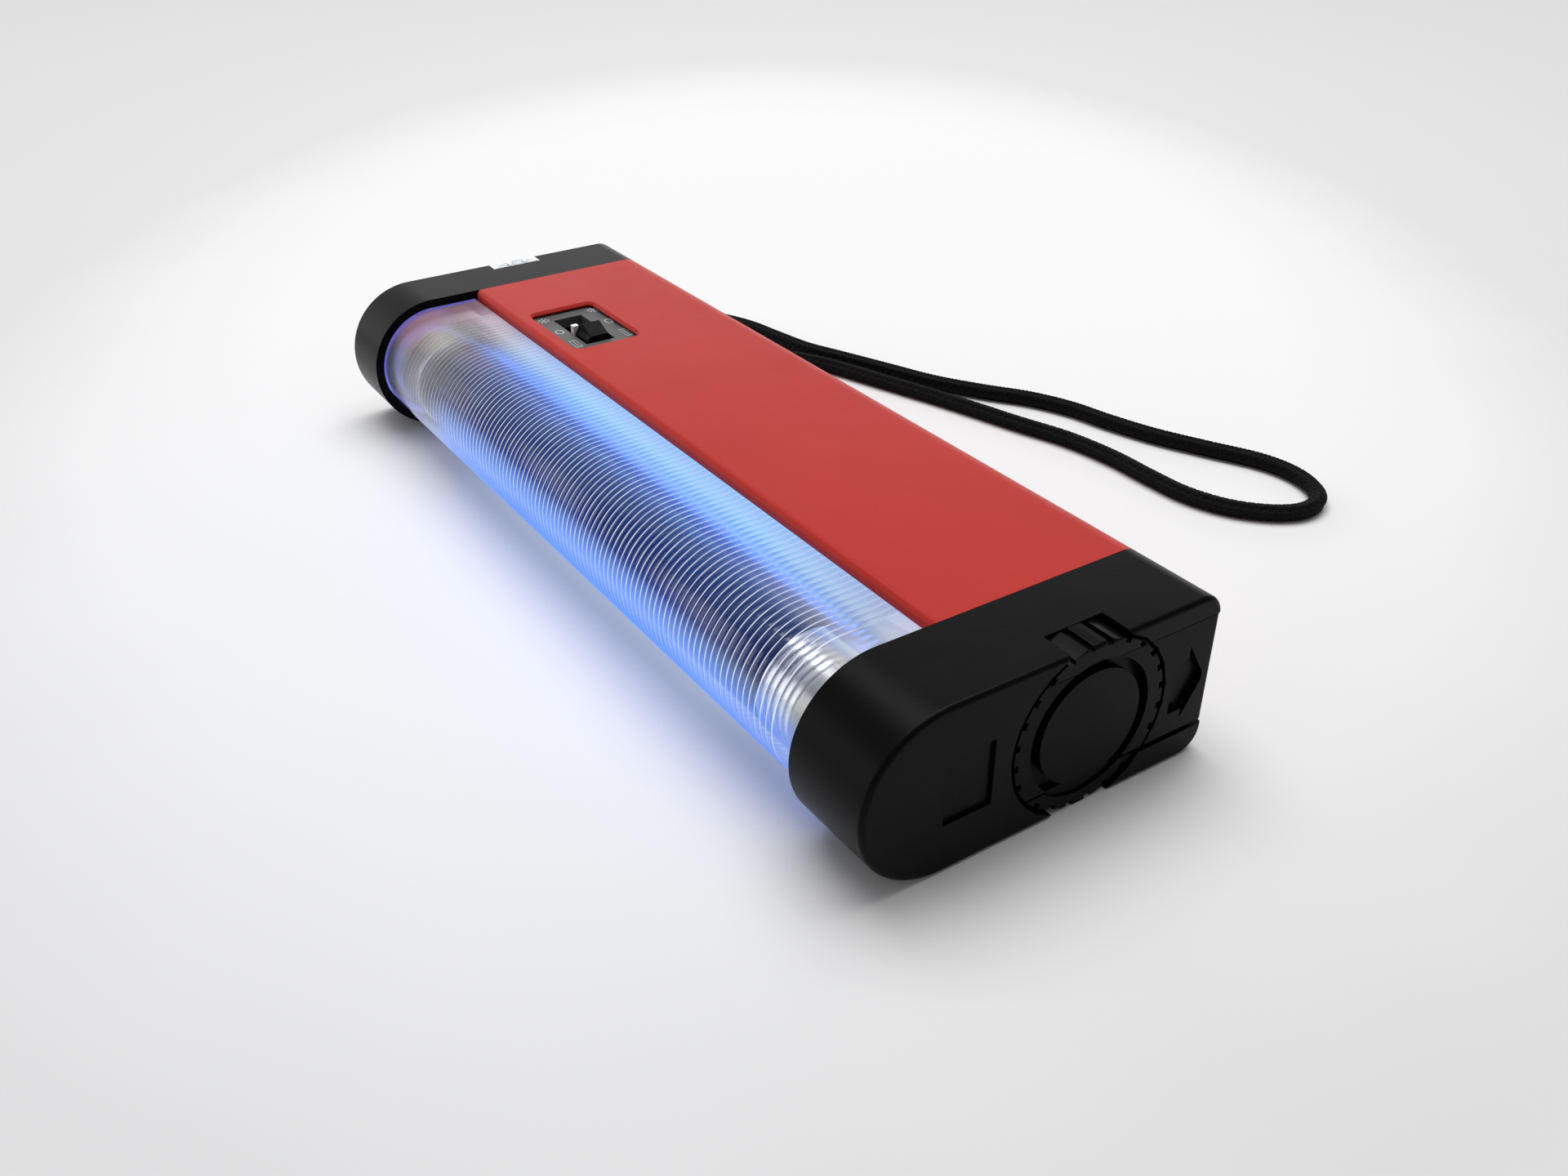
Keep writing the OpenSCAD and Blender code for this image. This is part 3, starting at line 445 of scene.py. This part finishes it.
class Look:
    """A material's node tree, with short calls for the nodes that several materials share."""

    def __init__(self, name, colour=None, roughness=0.5, metallic=0.0):
        self.material = bpy.data.materials.new(name)
        self.material.use_nodes = True
        self.tree = self.material.node_tree
        self.shader = self.tree.nodes["Principled BSDF"]
        self.output = self.tree.nodes["Material Output"]
        self.place = self.add("ShaderNodeTexCoord").outputs["Object"]
        if colour is not None:
            self.shader.inputs["Base Color"].default_value = (*colour, 1)
        self.shader.inputs["Roughness"].default_value = roughness
        self.shader.inputs["Metallic"].default_value = metallic

    def add(self, kind, inputs=None, **settings):
        node = self.tree.nodes.new(kind)
        for key, value in settings.items():
            setattr(node, key, value)
        for key, value in (inputs or {}).items():
            if isinstance(value, bpy.types.NodeSocket):
                self.tree.links.new(value, node.inputs[key])
            else:
                node.inputs[key].default_value = value
        return node

    def set(self, socket, value):
        if isinstance(value, bpy.types.NodeSocket):
            self.tree.links.new(value, self.shader.inputs[socket])
        else:
            self.shader.inputs[socket].default_value = value

    def noise(self, size, detail=2.0, stretch=(1, 1, 1)):
        """Noise with features of about size metres, stretched along the axes."""
        mapping = self.add("ShaderNodeMapping", {"Vector": self.place})
        mapping.inputs["Scale"].default_value = tuple(1 / s for s in stretch)
        node = self.add("ShaderNodeTexNoise",
                        {"Vector": mapping.outputs[0], "Scale": 1 / size, "Detail": detail})
        return node.outputs["Fac"]

    def math(self, operation, a, b=0.0, clamp=False):
        node = self.add("ShaderNodeMath", {0: a, 1: b}, operation=operation)
        node.use_clamp = clamp
        return node.outputs[0]

    def ramp(self, value, stops):
        """A colour ramp of (place, colour) stops."""
        node = self.add("ShaderNodeValToRGB", {"Fac": value})
        set_stops(node.color_ramp, stops)
        return node.outputs["Color"]

    def grey_ramp(self, value, stops):
        return self.ramp(value, grey_stops(stops))

    def blend(self, factor, first, second):
        """Colour that goes from first to second with factor."""
        node = self.add("ShaderNodeMix", data_type="RGBA")
        for socket, value in zip(("Factor_Float", "A_Color", "B_Color"), (factor, first, second)):
            target = next(i for i in node.inputs if i.identifier == socket)
            if isinstance(value, bpy.types.NodeSocket):
                self.tree.links.new(value, target)
            else:
                target.default_value = value
        return next(o for o in node.outputs if o.identifier == "Result_Color")

    def bump(self, height, depth, under=None):
        inputs = {"Height": height, "Distance": depth, "Strength": 1.0}
        if under is not None:
            inputs["Normal"] = under
        return self.add("ShaderNodeBump", inputs).outputs["Normal"]

    def give(self, *names):
        for name in names:
            target = NODES[name] if name in NODES else bpy.data.objects[name]
            target.data.materials.clear()
            target.data.materials.append(self.material)


def vary(look, colour, amount, size):
    """Base colour that drifts a little over the surface."""
    low = tuple(c * (1 - amount) for c in colour)
    high = tuple(min(1, c * (1 + amount)) for c in colour)
    look.set("Base Color", look.ramp(look.noise(size), [(0.3, low), (0.7, high)]))


DRIFT_SIZE = 18 * MM
MARK_SIZE = 6 * MM
MARK_STRENGTH = 0.05        # how far handling marks change the roughness
MOULD_GRAIN = 0.35 * MM


def moulded_plastic(name, colour, roughness, depth=0.012 * MM, drift=0.08, gloss=0.5):
    """Moulded plastic with a spark-eroded grain and faint handling marks."""
    look = Look(name, colour, roughness)
    look.set("Specular IOR Level", gloss)
    vary(look, colour, drift, DRIFT_SIZE)
    marks = look.noise(MARK_SIZE, 4)
    look.set("Roughness", look.grey_ramp(marks, [
        (0.3, roughness * (1 - MARK_STRENGTH)), (0.7, roughness * (1 + MARK_STRENGTH))]))
    look.set("Normal", look.bump(look.noise(MOULD_GRAIN, 3), depth))
    return look


def metal(name, colour, roughness, stretch, drift=0.1):
    """Metal with a drawn or rolled grain along one axis."""
    look = Look(name, colour, roughness, 1.0)
    grain = look.noise(0.12 * MM, 3, stretch)
    vary(look, colour, drift, 5 * MM)
    look.set("Roughness", look.grey_ramp(grain, [(0.3, roughness * 0.75), (0.7, roughness * 1.3)]))
    look.set("Normal", look.bump(grain, 0.004 * MM))
    return look


def clear_plastic(name, tint, roughness=0.06):
    """Clear moulding: mostly see-through, with a glossy skin."""
    look = Look(name, tint, roughness)
    look.set("Specular IOR Level", 0.5)
    clear = look.add("ShaderNodeBsdfTransparent", {"Color": (*tint, 1)})
    edge = look.add("ShaderNodeFresnel", {"IOR": 1.4})
    haze = look.noise(0.8 * MM, 3)
    cover = look.math("ADD", edge.outputs[0], look.math("MULTIPLY", haze, 0.12), clamp=True)
    mix = look.add("ShaderNodeMixShader",
                   {0: cover, 1: clear.outputs[0], 2: look.shader.outputs[0]})
    look.tree.links.new(mix.outputs[0], look.output.inputs["Surface"])
    look.set("Normal", look.bump(haze, 0.004 * MM))
    return look


# Painted light in the lens, put into its emission as (way round, colour) stops: bright over the
# trough beside the shell, dim over the tube and bright again below it
PAINTED_GLOW_MIDDLE = [
    (0.0, (0.28, 0.49, 0.9)), (0.025, (0.3, 0.55, 0.9)), (0.06, (0.26, 0.54, 0.91)),
    (0.1, (0.14, 0.34, 0.87)), (0.145, (0.07, 0.15, 0.52)), (0.19, (0.03, 0.08, 0.32)),
    (0.25, (0.01, 0.04, 0.15)), (0.35, (0.0, 0.01, 0.09)), (0.405, (0.0, 0.01, 0.13)),
    (0.45, (0.1, 0.2, 0.56)), (0.49, (0.15, 0.3, 0.84)), (0.56, (0.09, 0.24, 0.95)),
    (0.62, (0.05, 0.24, 1.0)), (0.66, (0.08, 0.26, 1.0)), (0.72, (0.42, 0.5, 0.7)),
    (0.95, (0.42, 0.5, 0.7)),
]
# painted light at the near end, with a painted highlight of the tube's metal end cap across it
PAINTED_GLOW_NEAR_END = [
    (0.0, (0.36, 0.37, 0.52)), (0.08, (0.38, 0.41, 0.53)), (0.12, (0.2, 0.24, 0.38)),
    (0.17, (0.33, 0.27, 0.08)), (0.24, (0, 0, 0)), (0.37, (0, 0, 0)), (0.42, (0.1, 0.1, 0.02)),
    (0.5, (0.05, 0.09, 0.28)), (0.65, (0.05, 0.09, 0.28)),
]
# painted light towards the far end
PAINTED_GLOW_FAR_END = [
    (0.0, (0.25, 0.25, 0.41)), (0.06, (0.34, 0.33, 0.4)), (0.13, (0.08, 0.06, 0.09)),
    (0.35, (0.01, 0.01, 0.0)), (0.44, (0.06, 0.06, 0.08)), (0.5, (0.17, 0.18, 0.18)),
    (0.62, (0.2, 0.25, 0.4)),
]
# painted sheen of the tube's metal end cap at the far end, seen through the lens
PAINTED_SHEEN_BY_FAR_CAP = [
    (0.0, (0.26, 0.21, 0.29)), (0.06, (0.27, 0.22, 0.28)), (0.1, (0.1, 0.06, 0.08)),
    (0.15, (0.08, 0.08, 0.08)), (0.25, (0.16, 0.16, 0.12)),
    (0.34, (0.04, 0.04, 0.04)), (0.44, (0.1, 0.1, 0.1)), (0.52, (0.14, 0.15, 0.2)),
    (0.64, (0.16, 0.18, 0.28)),
]
# no painted light, and a painted violet line of light along the edge of the far cap
NO_LIGHT = (0, 0, 0, 1)
PAINTED_VIOLET_GLOW_LINE = (0.1, 0.1, 0.42, 1)
# where each takes over from what is before it, as (way from the near end, share) stops
NEAR_END_SHARE = [(0.03, 1), (0.07, 0.7), (0.12, 0.4), (0.25, 0)]
FAR_END_SHARE = [(0.6, 0), (0.72, 0.25), (0.78, 0.5), (0.84, 1)]
SHEEN_SHARE = [(0.84, 0), (0.88, 1)]
DARK_SHARE = [(0.9, 0), (0.96, 1)]
VIOLET_SHARE = [(0.978, 0), (0.983, 1)]
VALLEY_SPREAD = 0.35        # how much further round the painted glow reaches in a valley
SKIN_IOR = 1.45
SKIN_LEAST = 0.03           # how much of the skin shows where it is looked at squarely
INNER_COVER = 0.06          # how much of the lens's inner side shows
LENS_DARK = (0.01, 0.01, 0.012)


def lens_painted_light(look, reach, around, from_near):
    """Colour of the painted light in the lens, put in as emission by place along and round it."""
    light = look.ramp(reach, PAINTED_GLOW_MIDDLE)
    for share, colour in (
        (NEAR_END_SHARE, look.ramp(around, PAINTED_GLOW_NEAR_END)),
        (FAR_END_SHARE, look.ramp(around, PAINTED_GLOW_FAR_END)),
        (SHEEN_SHARE, look.ramp(around, PAINTED_SHEEN_BY_FAR_CAP)),
        (DARK_SHARE, NO_LIGHT),
        (VIOLET_SHARE, PAINTED_VIOLET_GLOW_LINE),
    ):
        light = look.blend(look.grey_ramp(from_near, share), light, colour)
    return light


def lens_painted_highlights(look, off_crown, around, from_near):
    """Strength and colour of the painted highlight: a thin bright line in each valley between two
    ribs.
    """
    line = look.grey_ramp(off_crown, [(0.42, 0), (0.465, 1)])
    ribbed = look.grey_ramp(from_near, [
        (0.055, 0), (0.06, 1), (0.7, 0.8), (0.86, 0.25), (0.9, 0)])
    patch = look.grey_ramp(look.noise(5 * MM, 2, (1, 0.4, 1)), [(0.3, 0.7), (0.7, 1)])
    line_round = look.grey_ramp(around, [
        (0.0, 0.3), (0.06, 0.3), (0.12, 0.35), (0.18, 0.8), (0.26, 1), (0.45, 1), (0.55, 0.5),
        (0.62, 0.2), (0.72, 0)])
    strength = look.math("MULTIPLY", look.math("MULTIPLY", line, ribbed),
                         look.math("MULTIPLY", patch, line_round))
    colour = look.ramp(around, [
        (0.1, (0.8, 0.86, 1.0)), (0.3, (0.78, 0.84, 0.95)), (0.45, (0.75, 0.85, 1.0)),
        (0.55, (0.5, 0.66, 1.0))])
    return strength, colour


def lens_milk(look, around, from_near):
    """Strength and colour of the milky stretch at both ends, with a painted reflection of the red
    shell at the far one.
    """
    streaks = look.grey_ramp(look.noise(12 * MM, 1), [(0.3, 0.8), (0.7, 1)])
    strength = look.math("MULTIPLY", streaks, look.grey_ramp(from_near, [
        (0.0, 0.3), (0.04, 0.2), (0.07, 0.0), (0.7, 0.0), (0.84, 0.2), (0.88, 0.35), (0.95, 0.6)]))
    red_shell_reflection = look.ramp(around, [
        (0.0, (0.5, 0.32, 0.4)), (0.2, (0.5, 0.27, 0.33)), (0.32, (0.45, 0.25, 0.27)),
        (0.4, (0.2, 0.22, 0.25)), (0.6, (0.35, 0.38, 0.5))])
    colour = look.blend(look.grey_ramp(from_near, [(0.88, 0), (0.95, 1)]),
                        (0.6, 0.6, 0.64, 1), red_shell_reflection)
    return strength, colour


def lens_look():
    """Clear ribbed lens: see-through, with the tube's blue light painted into it as emission by
    place, and a painted bright line in each valley between its ribs.
    """
    look = Look("lens_clear_painted_glow", LENS_DARK, 0.2)
    along = look.add("ShaderNodeSeparateXYZ", {"Vector": look.place}).outputs["Y"]
    from_near = look.math("DIVIDE", look.math("SUBTRACT", along, lens_low.y),
                          lens_high.y - lens_low.y)
    around = look.add("ShaderNodeAttribute", attribute_name="around").outputs["Fac"]
    outside = look.add("ShaderNodeAttribute", attribute_name="outside").outputs["Fac"]
    # distance from the nearest crown, 0 on it and 0.5 in the valley between two ribs
    phase = look.math("FRACT", look.math(
        "DIVIDE", look.math("ADD", along, RIB_COUNT * RIB_PITCH), RIB_PITCH))
    off_crown = look.math("ABSOLUTE", look.math("SUBTRACT", phase, 0.5))
    # in the valleys the painted glow reaches further over the tube, so its border is a saw edge
    spread = look.math("ADD", look.math("MULTIPLY", off_crown, VALLEY_SPREAD), 1)
    reach = look.math("ADD", look.math(
        "MULTIPLY", look.math("SUBTRACT", around, TUBE_MIDDLE), spread), TUBE_MIDDLE)
    light = lens_painted_light(look, reach, around, from_near)
    # the blue of the painted light sets how much of the lens it covers
    glow = look.add("ShaderNodeSeparateColor", {"Color": light}).outputs["Blue"]
    highlight_lines, highlight_colour = lens_painted_highlights(look, off_crown, around, from_near)
    milk, milk_and_red_reflection_colour = lens_milk(look, around, from_near)
    skin = look.math("ADD", look.add("ShaderNodeFresnel", {"IOR": SKIN_IOR}).outputs[0], SKIN_LEAST)
    # nothing shows through the brightest stretch of painted glow beside the shell
    veil = look.grey_ramp(reach, [(0.1, 0.97), (0.16, 0)])
    cover = look.math("MAXIMUM", look.math("MAXIMUM", glow, highlight_lines),
                      look.math("MAXIMUM", look.math("MAXIMUM", milk, veil), skin), clamp=True)
    on_skin = look.grey_ramp(outside, [(0.4, INNER_COVER), (0.6, 1)])
    look.set("Specular IOR Level", 0.3)
    look.set("Alpha", look.math("MULTIPLY", cover, on_skin))
    # the painted light, with the painted bright line over it, goes in as emission
    look.set("Emission Color", look.blend(highlight_lines, light, highlight_colour))
    look.set("Emission Strength", look.math("DIVIDE", 1.0, cover))
    # the milky stretch and its painted red reflection go into the base colour
    milk_share = look.math("DIVIDE", milk, cover, clamp=True)
    look.set("Base Color", look.blend(milk_share, (*LENS_DARK, 1), milk_and_red_reflection_colour))
    return look


def tube_look():
    """Dark violet glass that glows faintly."""
    look = Look("tube_dark_glass", (0.008, 0.009, 0.02), 0.12)
    cloud = look.noise(9 * MM, 2)
    look.set("Base Color", look.ramp(cloud, [
        (0.3, (0.004, 0.005, 0.012)), (0.7, (0.012, 0.014, 0.035))]))
    look.set("Emission Color", (0.1, 0.12, 0.6, 1))
    look.set("Emission Strength", look.grey_ramp(cloud, [(0.2, 0.015), (0.8, 0.05)]))
    look.set("Coat Weight", 0.4)
    look.set("Normal", look.bump(look.noise(2 * MM), 0.01 * MM))
    return look


TROUGH_HALF = 70 * MM


def mirror_painted_glow_look():
    """Polished trough with a painted blue glow that stands for the tube's light on it."""
    look = Look("mirror_polished_painted_glow", (0.85, 0.87, 0.92), 0.16, 1.0)
    streak = look.noise(1.5 * MM, 3, (1, 12, 1))
    look.set("Roughness", look.grey_ramp(streak, [(0.3, 0.1), (0.7, 0.24)]))
    # painted glow: blue emission, strongest over the middle of the trough and fading towards its ends
    look.set("Emission Color", (0.1, 0.3, 1.0, 1))
    split = look.add("ShaderNodeSeparateXYZ", {"Vector": look.place})
    lit = look.math("ABSOLUTE", look.math("MULTIPLY", split.outputs["Y"], 1 / TROUGH_HALF))
    look.set("Emission Strength", look.grey_ramp(lit, [(0.75, 0.5), (0.95, 0.05)]))
    look.set("Normal", look.bump(streak, 0.01 * MM))
    return look


def braid_look():
    """Black nylon braid with fine threads."""
    black = (0.004, 0.004, 0.0045)
    look = Look("braid_nylon", black, 0.8)
    vary(look, black, 0.5, 0.6 * MM)
    look.set("Normal", look.bump(look.noise(0.09 * MM, 2), 0.03 * MM))
    look.set("Specular IOR Level", 0.12)
    return look


CELL_LENGTH = 50.5 * MM


def cell_look():
    """Battery jacket: a dark sleeve with a plain copper band towards the button end."""
    look = Look("cell_sleeve", (0.02, 0.02, 0.025), 0.28)
    split = look.add("ShaderNodeSeparateXYZ", {"Vector": look.place})
    row_start = node_box("cell_near_left")[0].y
    lengths = look.math("FRACT", look.math(
        "DIVIDE", look.math("SUBTRACT", split.outputs["Y"], row_start), CELL_LENGTH))
    copper = (0.5, 0.2, 0.05)
    sleeve = (0.015, 0.03, 0.06)
    look.set("Base Color", look.ramp(lengths, [
        (0.0, copper), (0.26, copper), (0.27, sleeve), (1.0, sleeve)]))
    look.set("Coat Weight", 0.5)
    look.set("Normal", look.bump(look.noise(3 * MM, 2), 0.01 * MM))
    return look


def board_look():
    """Green lacquered board with copper tracks under the lacquer."""
    look = Look("board_lacquer", (0.03, 0.12, 0.04), 0.35)
    cells = look.add("ShaderNodeTexVoronoi", {"Vector": look.place, "Scale": 1 / (3.2 * MM)},
                     feature="DISTANCE_TO_EDGE")
    tracks = look.grey_ramp(cells.outputs["Distance"], [(0.06, 1), (0.09, 0)])
    look.set("Base Color", look.ramp(tracks, [(0, (0.02, 0.1, 0.03)), (1, (0.08, 0.22, 0.08))]))
    look.set("Normal", look.bump(tracks, 0.03 * MM))
    look.set("Coat Weight", 0.3)
    return look


def wound_look(name, colour):
    """Tape wound round a coil, with its turns one above the other."""
    look = Look(name, colour, 0.3)
    wave = look.add("ShaderNodeTexWave", {"Vector": look.place, "Scale": 1 / (2.2 * MM),
                                          "Distortion": 0.4}, bands_direction="Z")
    vary(look, colour, 0.15, 2 * MM)
    look.set("Normal", look.bump(wave.outputs["Fac"], 0.05 * MM))
    return look


moulded_plastic("plastic_red", (0.47, 0.0225, 0.015), 0.42, drift=0.03, gloss=0.15).give(
    "upper_shell", "lower_shell")
moulded_plastic("plastic_black", (0.0025, 0.0025, 0.0026), 0.32, gloss=0.065).give(
    "near_end_cap", "far_end_cap")
moulded_plastic("plastic_door", (0.0025, 0.0025, 0.0026), 0.33, gloss=0.055).give("battery_door")
moulded_plastic("plastic_knob", (0.0015, 0.0015, 0.0016), 0.5, gloss=0.1).give("switch_knob")
moulded_plastic("plastic_grey", (0.1, 0.102, 0.105), 0.42, gloss=0.3).give("switch_plate")
moulded_plastic("plastic_white", (0.88, 0.88, 0.86), 0.4).give(
    "switch_slider", "near_lamp_holder", "far_lamp_holder", "bulb_holder")
moulded_plastic("plastic_bulkhead", (0.02, 0.02, 0.022), 0.5).give("battery_bulkhead")
moulded_plastic("ink_pale", (0.5, 0.5, 0.5), 0.5, depth=0.002 * MM).give("switch_icons")
moulded_plastic("ferrite_sintered", (0.03, 0.03, 0.032), 0.6, depth=0.02 * MM).give(
    "transformer_core")
moulded_plastic("resin_black", (0.015, 0.015, 0.016), 0.5).give("power_transistor")
moulded_plastic("sleeve_blue", (0.02, 0.05, 0.18), 0.25).give("electrolytic_capacitor")
moulded_plastic("resin_amber", (0.3, 0.1, 0.02), 0.2, drift=0.2).give("film_capacitor")
moulded_plastic("lacquer_sand", (0.5, 0.38, 0.18), 0.3).give("resistors")
moulded_plastic("wire_blue", (0.02, 0.06, 0.4), 0.4).give("lamp_lead")
moulded_plastic("wire_red", (0.4, 0.02, 0.015), 0.4).give("battery_lead")
metal("metal_tube_end", (0.86, 0.87, 0.9), 0.2, (1, 20, 1), drift=0.03).give("tube_end_caps")
metal("metal_brass", (0.75, 0.52, 0.22), 0.3, (6, 1, 1)).give(
    "tube_pins", "lamp_holder_contacts", "bulb_base", "bulb_contact")
metal("metal_nickel", (0.68, 0.66, 0.6), 0.28, (6, 1, 1)).give(
    "door_contact", "cell_buttons", "negative_spring", "positive_contact")
metal("metal_zinc", (0.6, 0.61, 0.62), 0.35, (1, 6, 1)).give("case_screws", "board_screws")
metal("metal_blackened", (0.03, 0.03, 0.032), 0.5, (1, 1, 6)).give("switch_case")
mirror_painted_glow_look().give("lamp_reflector")
metal("metal_torch_mirror", (0.85, 0.86, 0.88), 0.08, (1, 1, 1)).give("torch_reflector")
tube_look().give("tube_glass")
lens_look().give("lens_ribbed", "ribbed_lens")
clear_plastic("clear_torch", (0.9, 0.93, 0.95)).give("torch_lens")
clear_plastic("clear_bulb", (0.95, 0.94, 0.9)).give("bulb_glass")
braid_look().give("lanyard_braid", "lanyard", "lanyard_knot")
cell_look().give("cell_near_left", "cell_near_right", "cell_far_left", "cell_far_right")
board_look().give("circuit_board")
wound_look("tape_amber", (0.5, 0.32, 0.04)).give("transformer_winding")


# ------------------------------------------------------------------ stage

FLOOR_COLOUR = (0.88, 0.88, 0.885)
FLOOR_HALF = 3
FLOOR_DRIFT = 0.05
# a painted pool of light: a soft oval of brighter floor round the lamp, turned as the camera is
PAINTED_LIGHT_POOL_MIDDLE = (0.077, 0.093, 0)
PAINTED_LIGHT_POOL_RADII = (0.19, 0.28, 1)
PAINTED_LIGHT_POOL_SHADES = [(0.3, 1), (0.37, 0.96), (0.46, 0.83), (0.75, 0.8)]   # (half the radii out, shade)


def make_floor():
    """Pale floor at the height that the lamp rests on, with a painted pool of light round the lamp.
    """
    mesh = bpy.data.meshes.new("floor")
    corners = [(-1, -1), (1, -1), (1, 1), (-1, 1)]
    mesh.from_pydata([(x * FLOOR_HALF, y * FLOOR_HALF, 0) for x, y in corners], [], [(0, 1, 2, 3)])
    floor = bpy.data.objects.new("floor", mesh)
    bpy.context.scene.collection.objects.link(floor)
    look = Look("floor_pale_painted_light_pool", FLOOR_COLOUR, 0.75)
    mapping = look.add("ShaderNodeMapping", {"Vector": look.place}, vector_type="TEXTURE")
    mapping.inputs["Location"].default_value = PAINTED_LIGHT_POOL_MIDDLE
    mapping.inputs["Rotation"].default_value = (0, 0, CAMERA_AZIMUTH)
    mapping.inputs["Scale"].default_value = PAINTED_LIGHT_POOL_RADII
    length = look.add("ShaderNodeVectorMath", {0: mapping.outputs[0]}, operation="LENGTH")
    drift = look.math("ADD", length.outputs["Value"],
                      look.math("MULTIPLY", look.noise(40 * MM), FLOOR_DRIFT))
    # painted pool of light: the floor's colour darkens away from the lamp, its edge drifting a little
    look.set("Base Color", look.ramp(look.math("MULTIPLY", drift, 0.5), [
        (at, tuple(c * shade for c in FLOOR_COLOUR)) for at, shade in PAINTED_LIGHT_POOL_SHADES]))
    look.set("Specular IOR Level", 0.2)
    floor.data.materials.append(look.material)


def make_light(name, place, target, size, power):
    """A soft rectangular light that faces a target."""
    data = bpy.data.lights.new(name, "AREA")
    data.shape = "RECTANGLE"
    data.size, data.size_y = size
    data.energy = power
    light = bpy.data.objects.new(name, data)
    bpy.context.scene.collection.objects.link(light)
    light.location = place
    aim = Vector(target) - Vector(place)
    light.rotation_euler = aim.to_track_quat("-Z", "Y").to_euler()


# brightness of the studio behind the lamp, as (height, colour) stops from straight down to
# straight up
STUDIO_BANDS = [(0.0, (1.7, 1.7, 1.734)), (0.36, (1.4, 1.4, 1.428)), (0.48, (0.15, 0.15, 0.153)),
                (1.0, (1, 1, 1))]
STUDIO_FRONT = (0.22, 0.22, 0.225, 1)
STUDIO_TURN = (-0.1, 0.6)     # how far back the front gives way to the bands
STUDIO_STRENGTH = 0.9


def make_world():
    """A dim studio: dark low down in front, a paler band low down behind the lamp."""
    world = bpy.data.worlds.new("studio")
    bpy.context.scene.world = world
    world.use_nodes = True
    nodes = world.node_tree.nodes
    links = world.node_tree.links
    place = nodes.new("ShaderNodeTexCoord")
    split = nodes.new("ShaderNodeSeparateXYZ")
    links.new(place.outputs["Generated"], split.inputs[0])
    height = nodes.new("ShaderNodeValToRGB")
    links.new(split.outputs["Z"], height.inputs["Fac"])
    set_stops(height.color_ramp, STUDIO_BANDS)
    behind = nodes.new("ShaderNodeMapRange")
    links.new(split.outputs["Y"], behind.inputs["Value"])
    behind.inputs["From Min"].default_value, behind.inputs["From Max"].default_value = STUDIO_TURN
    mix = nodes.new("ShaderNodeMix")
    mix.data_type = "RGBA"
    links.new(behind.outputs[0], mix.inputs["Factor"])
    mix.inputs["A"].default_value = STUDIO_FRONT
    links.new(height.outputs["Color"], mix.inputs["B"])
    background = nodes["Background"]
    links.new(mix.outputs["Result"], background.inputs["Color"])
    background.inputs["Strength"].default_value = STUDIO_STRENGTH


make_floor()
make_world()
make_light("light_above", place=(0.2, 0.3, 1.35), target=(0, 0, 0), size=(1.5, 1.1), power=18)
scene = bpy.context.scene
scene.view_settings.view_transform = "Standard"
scene.view_settings.look = "None"
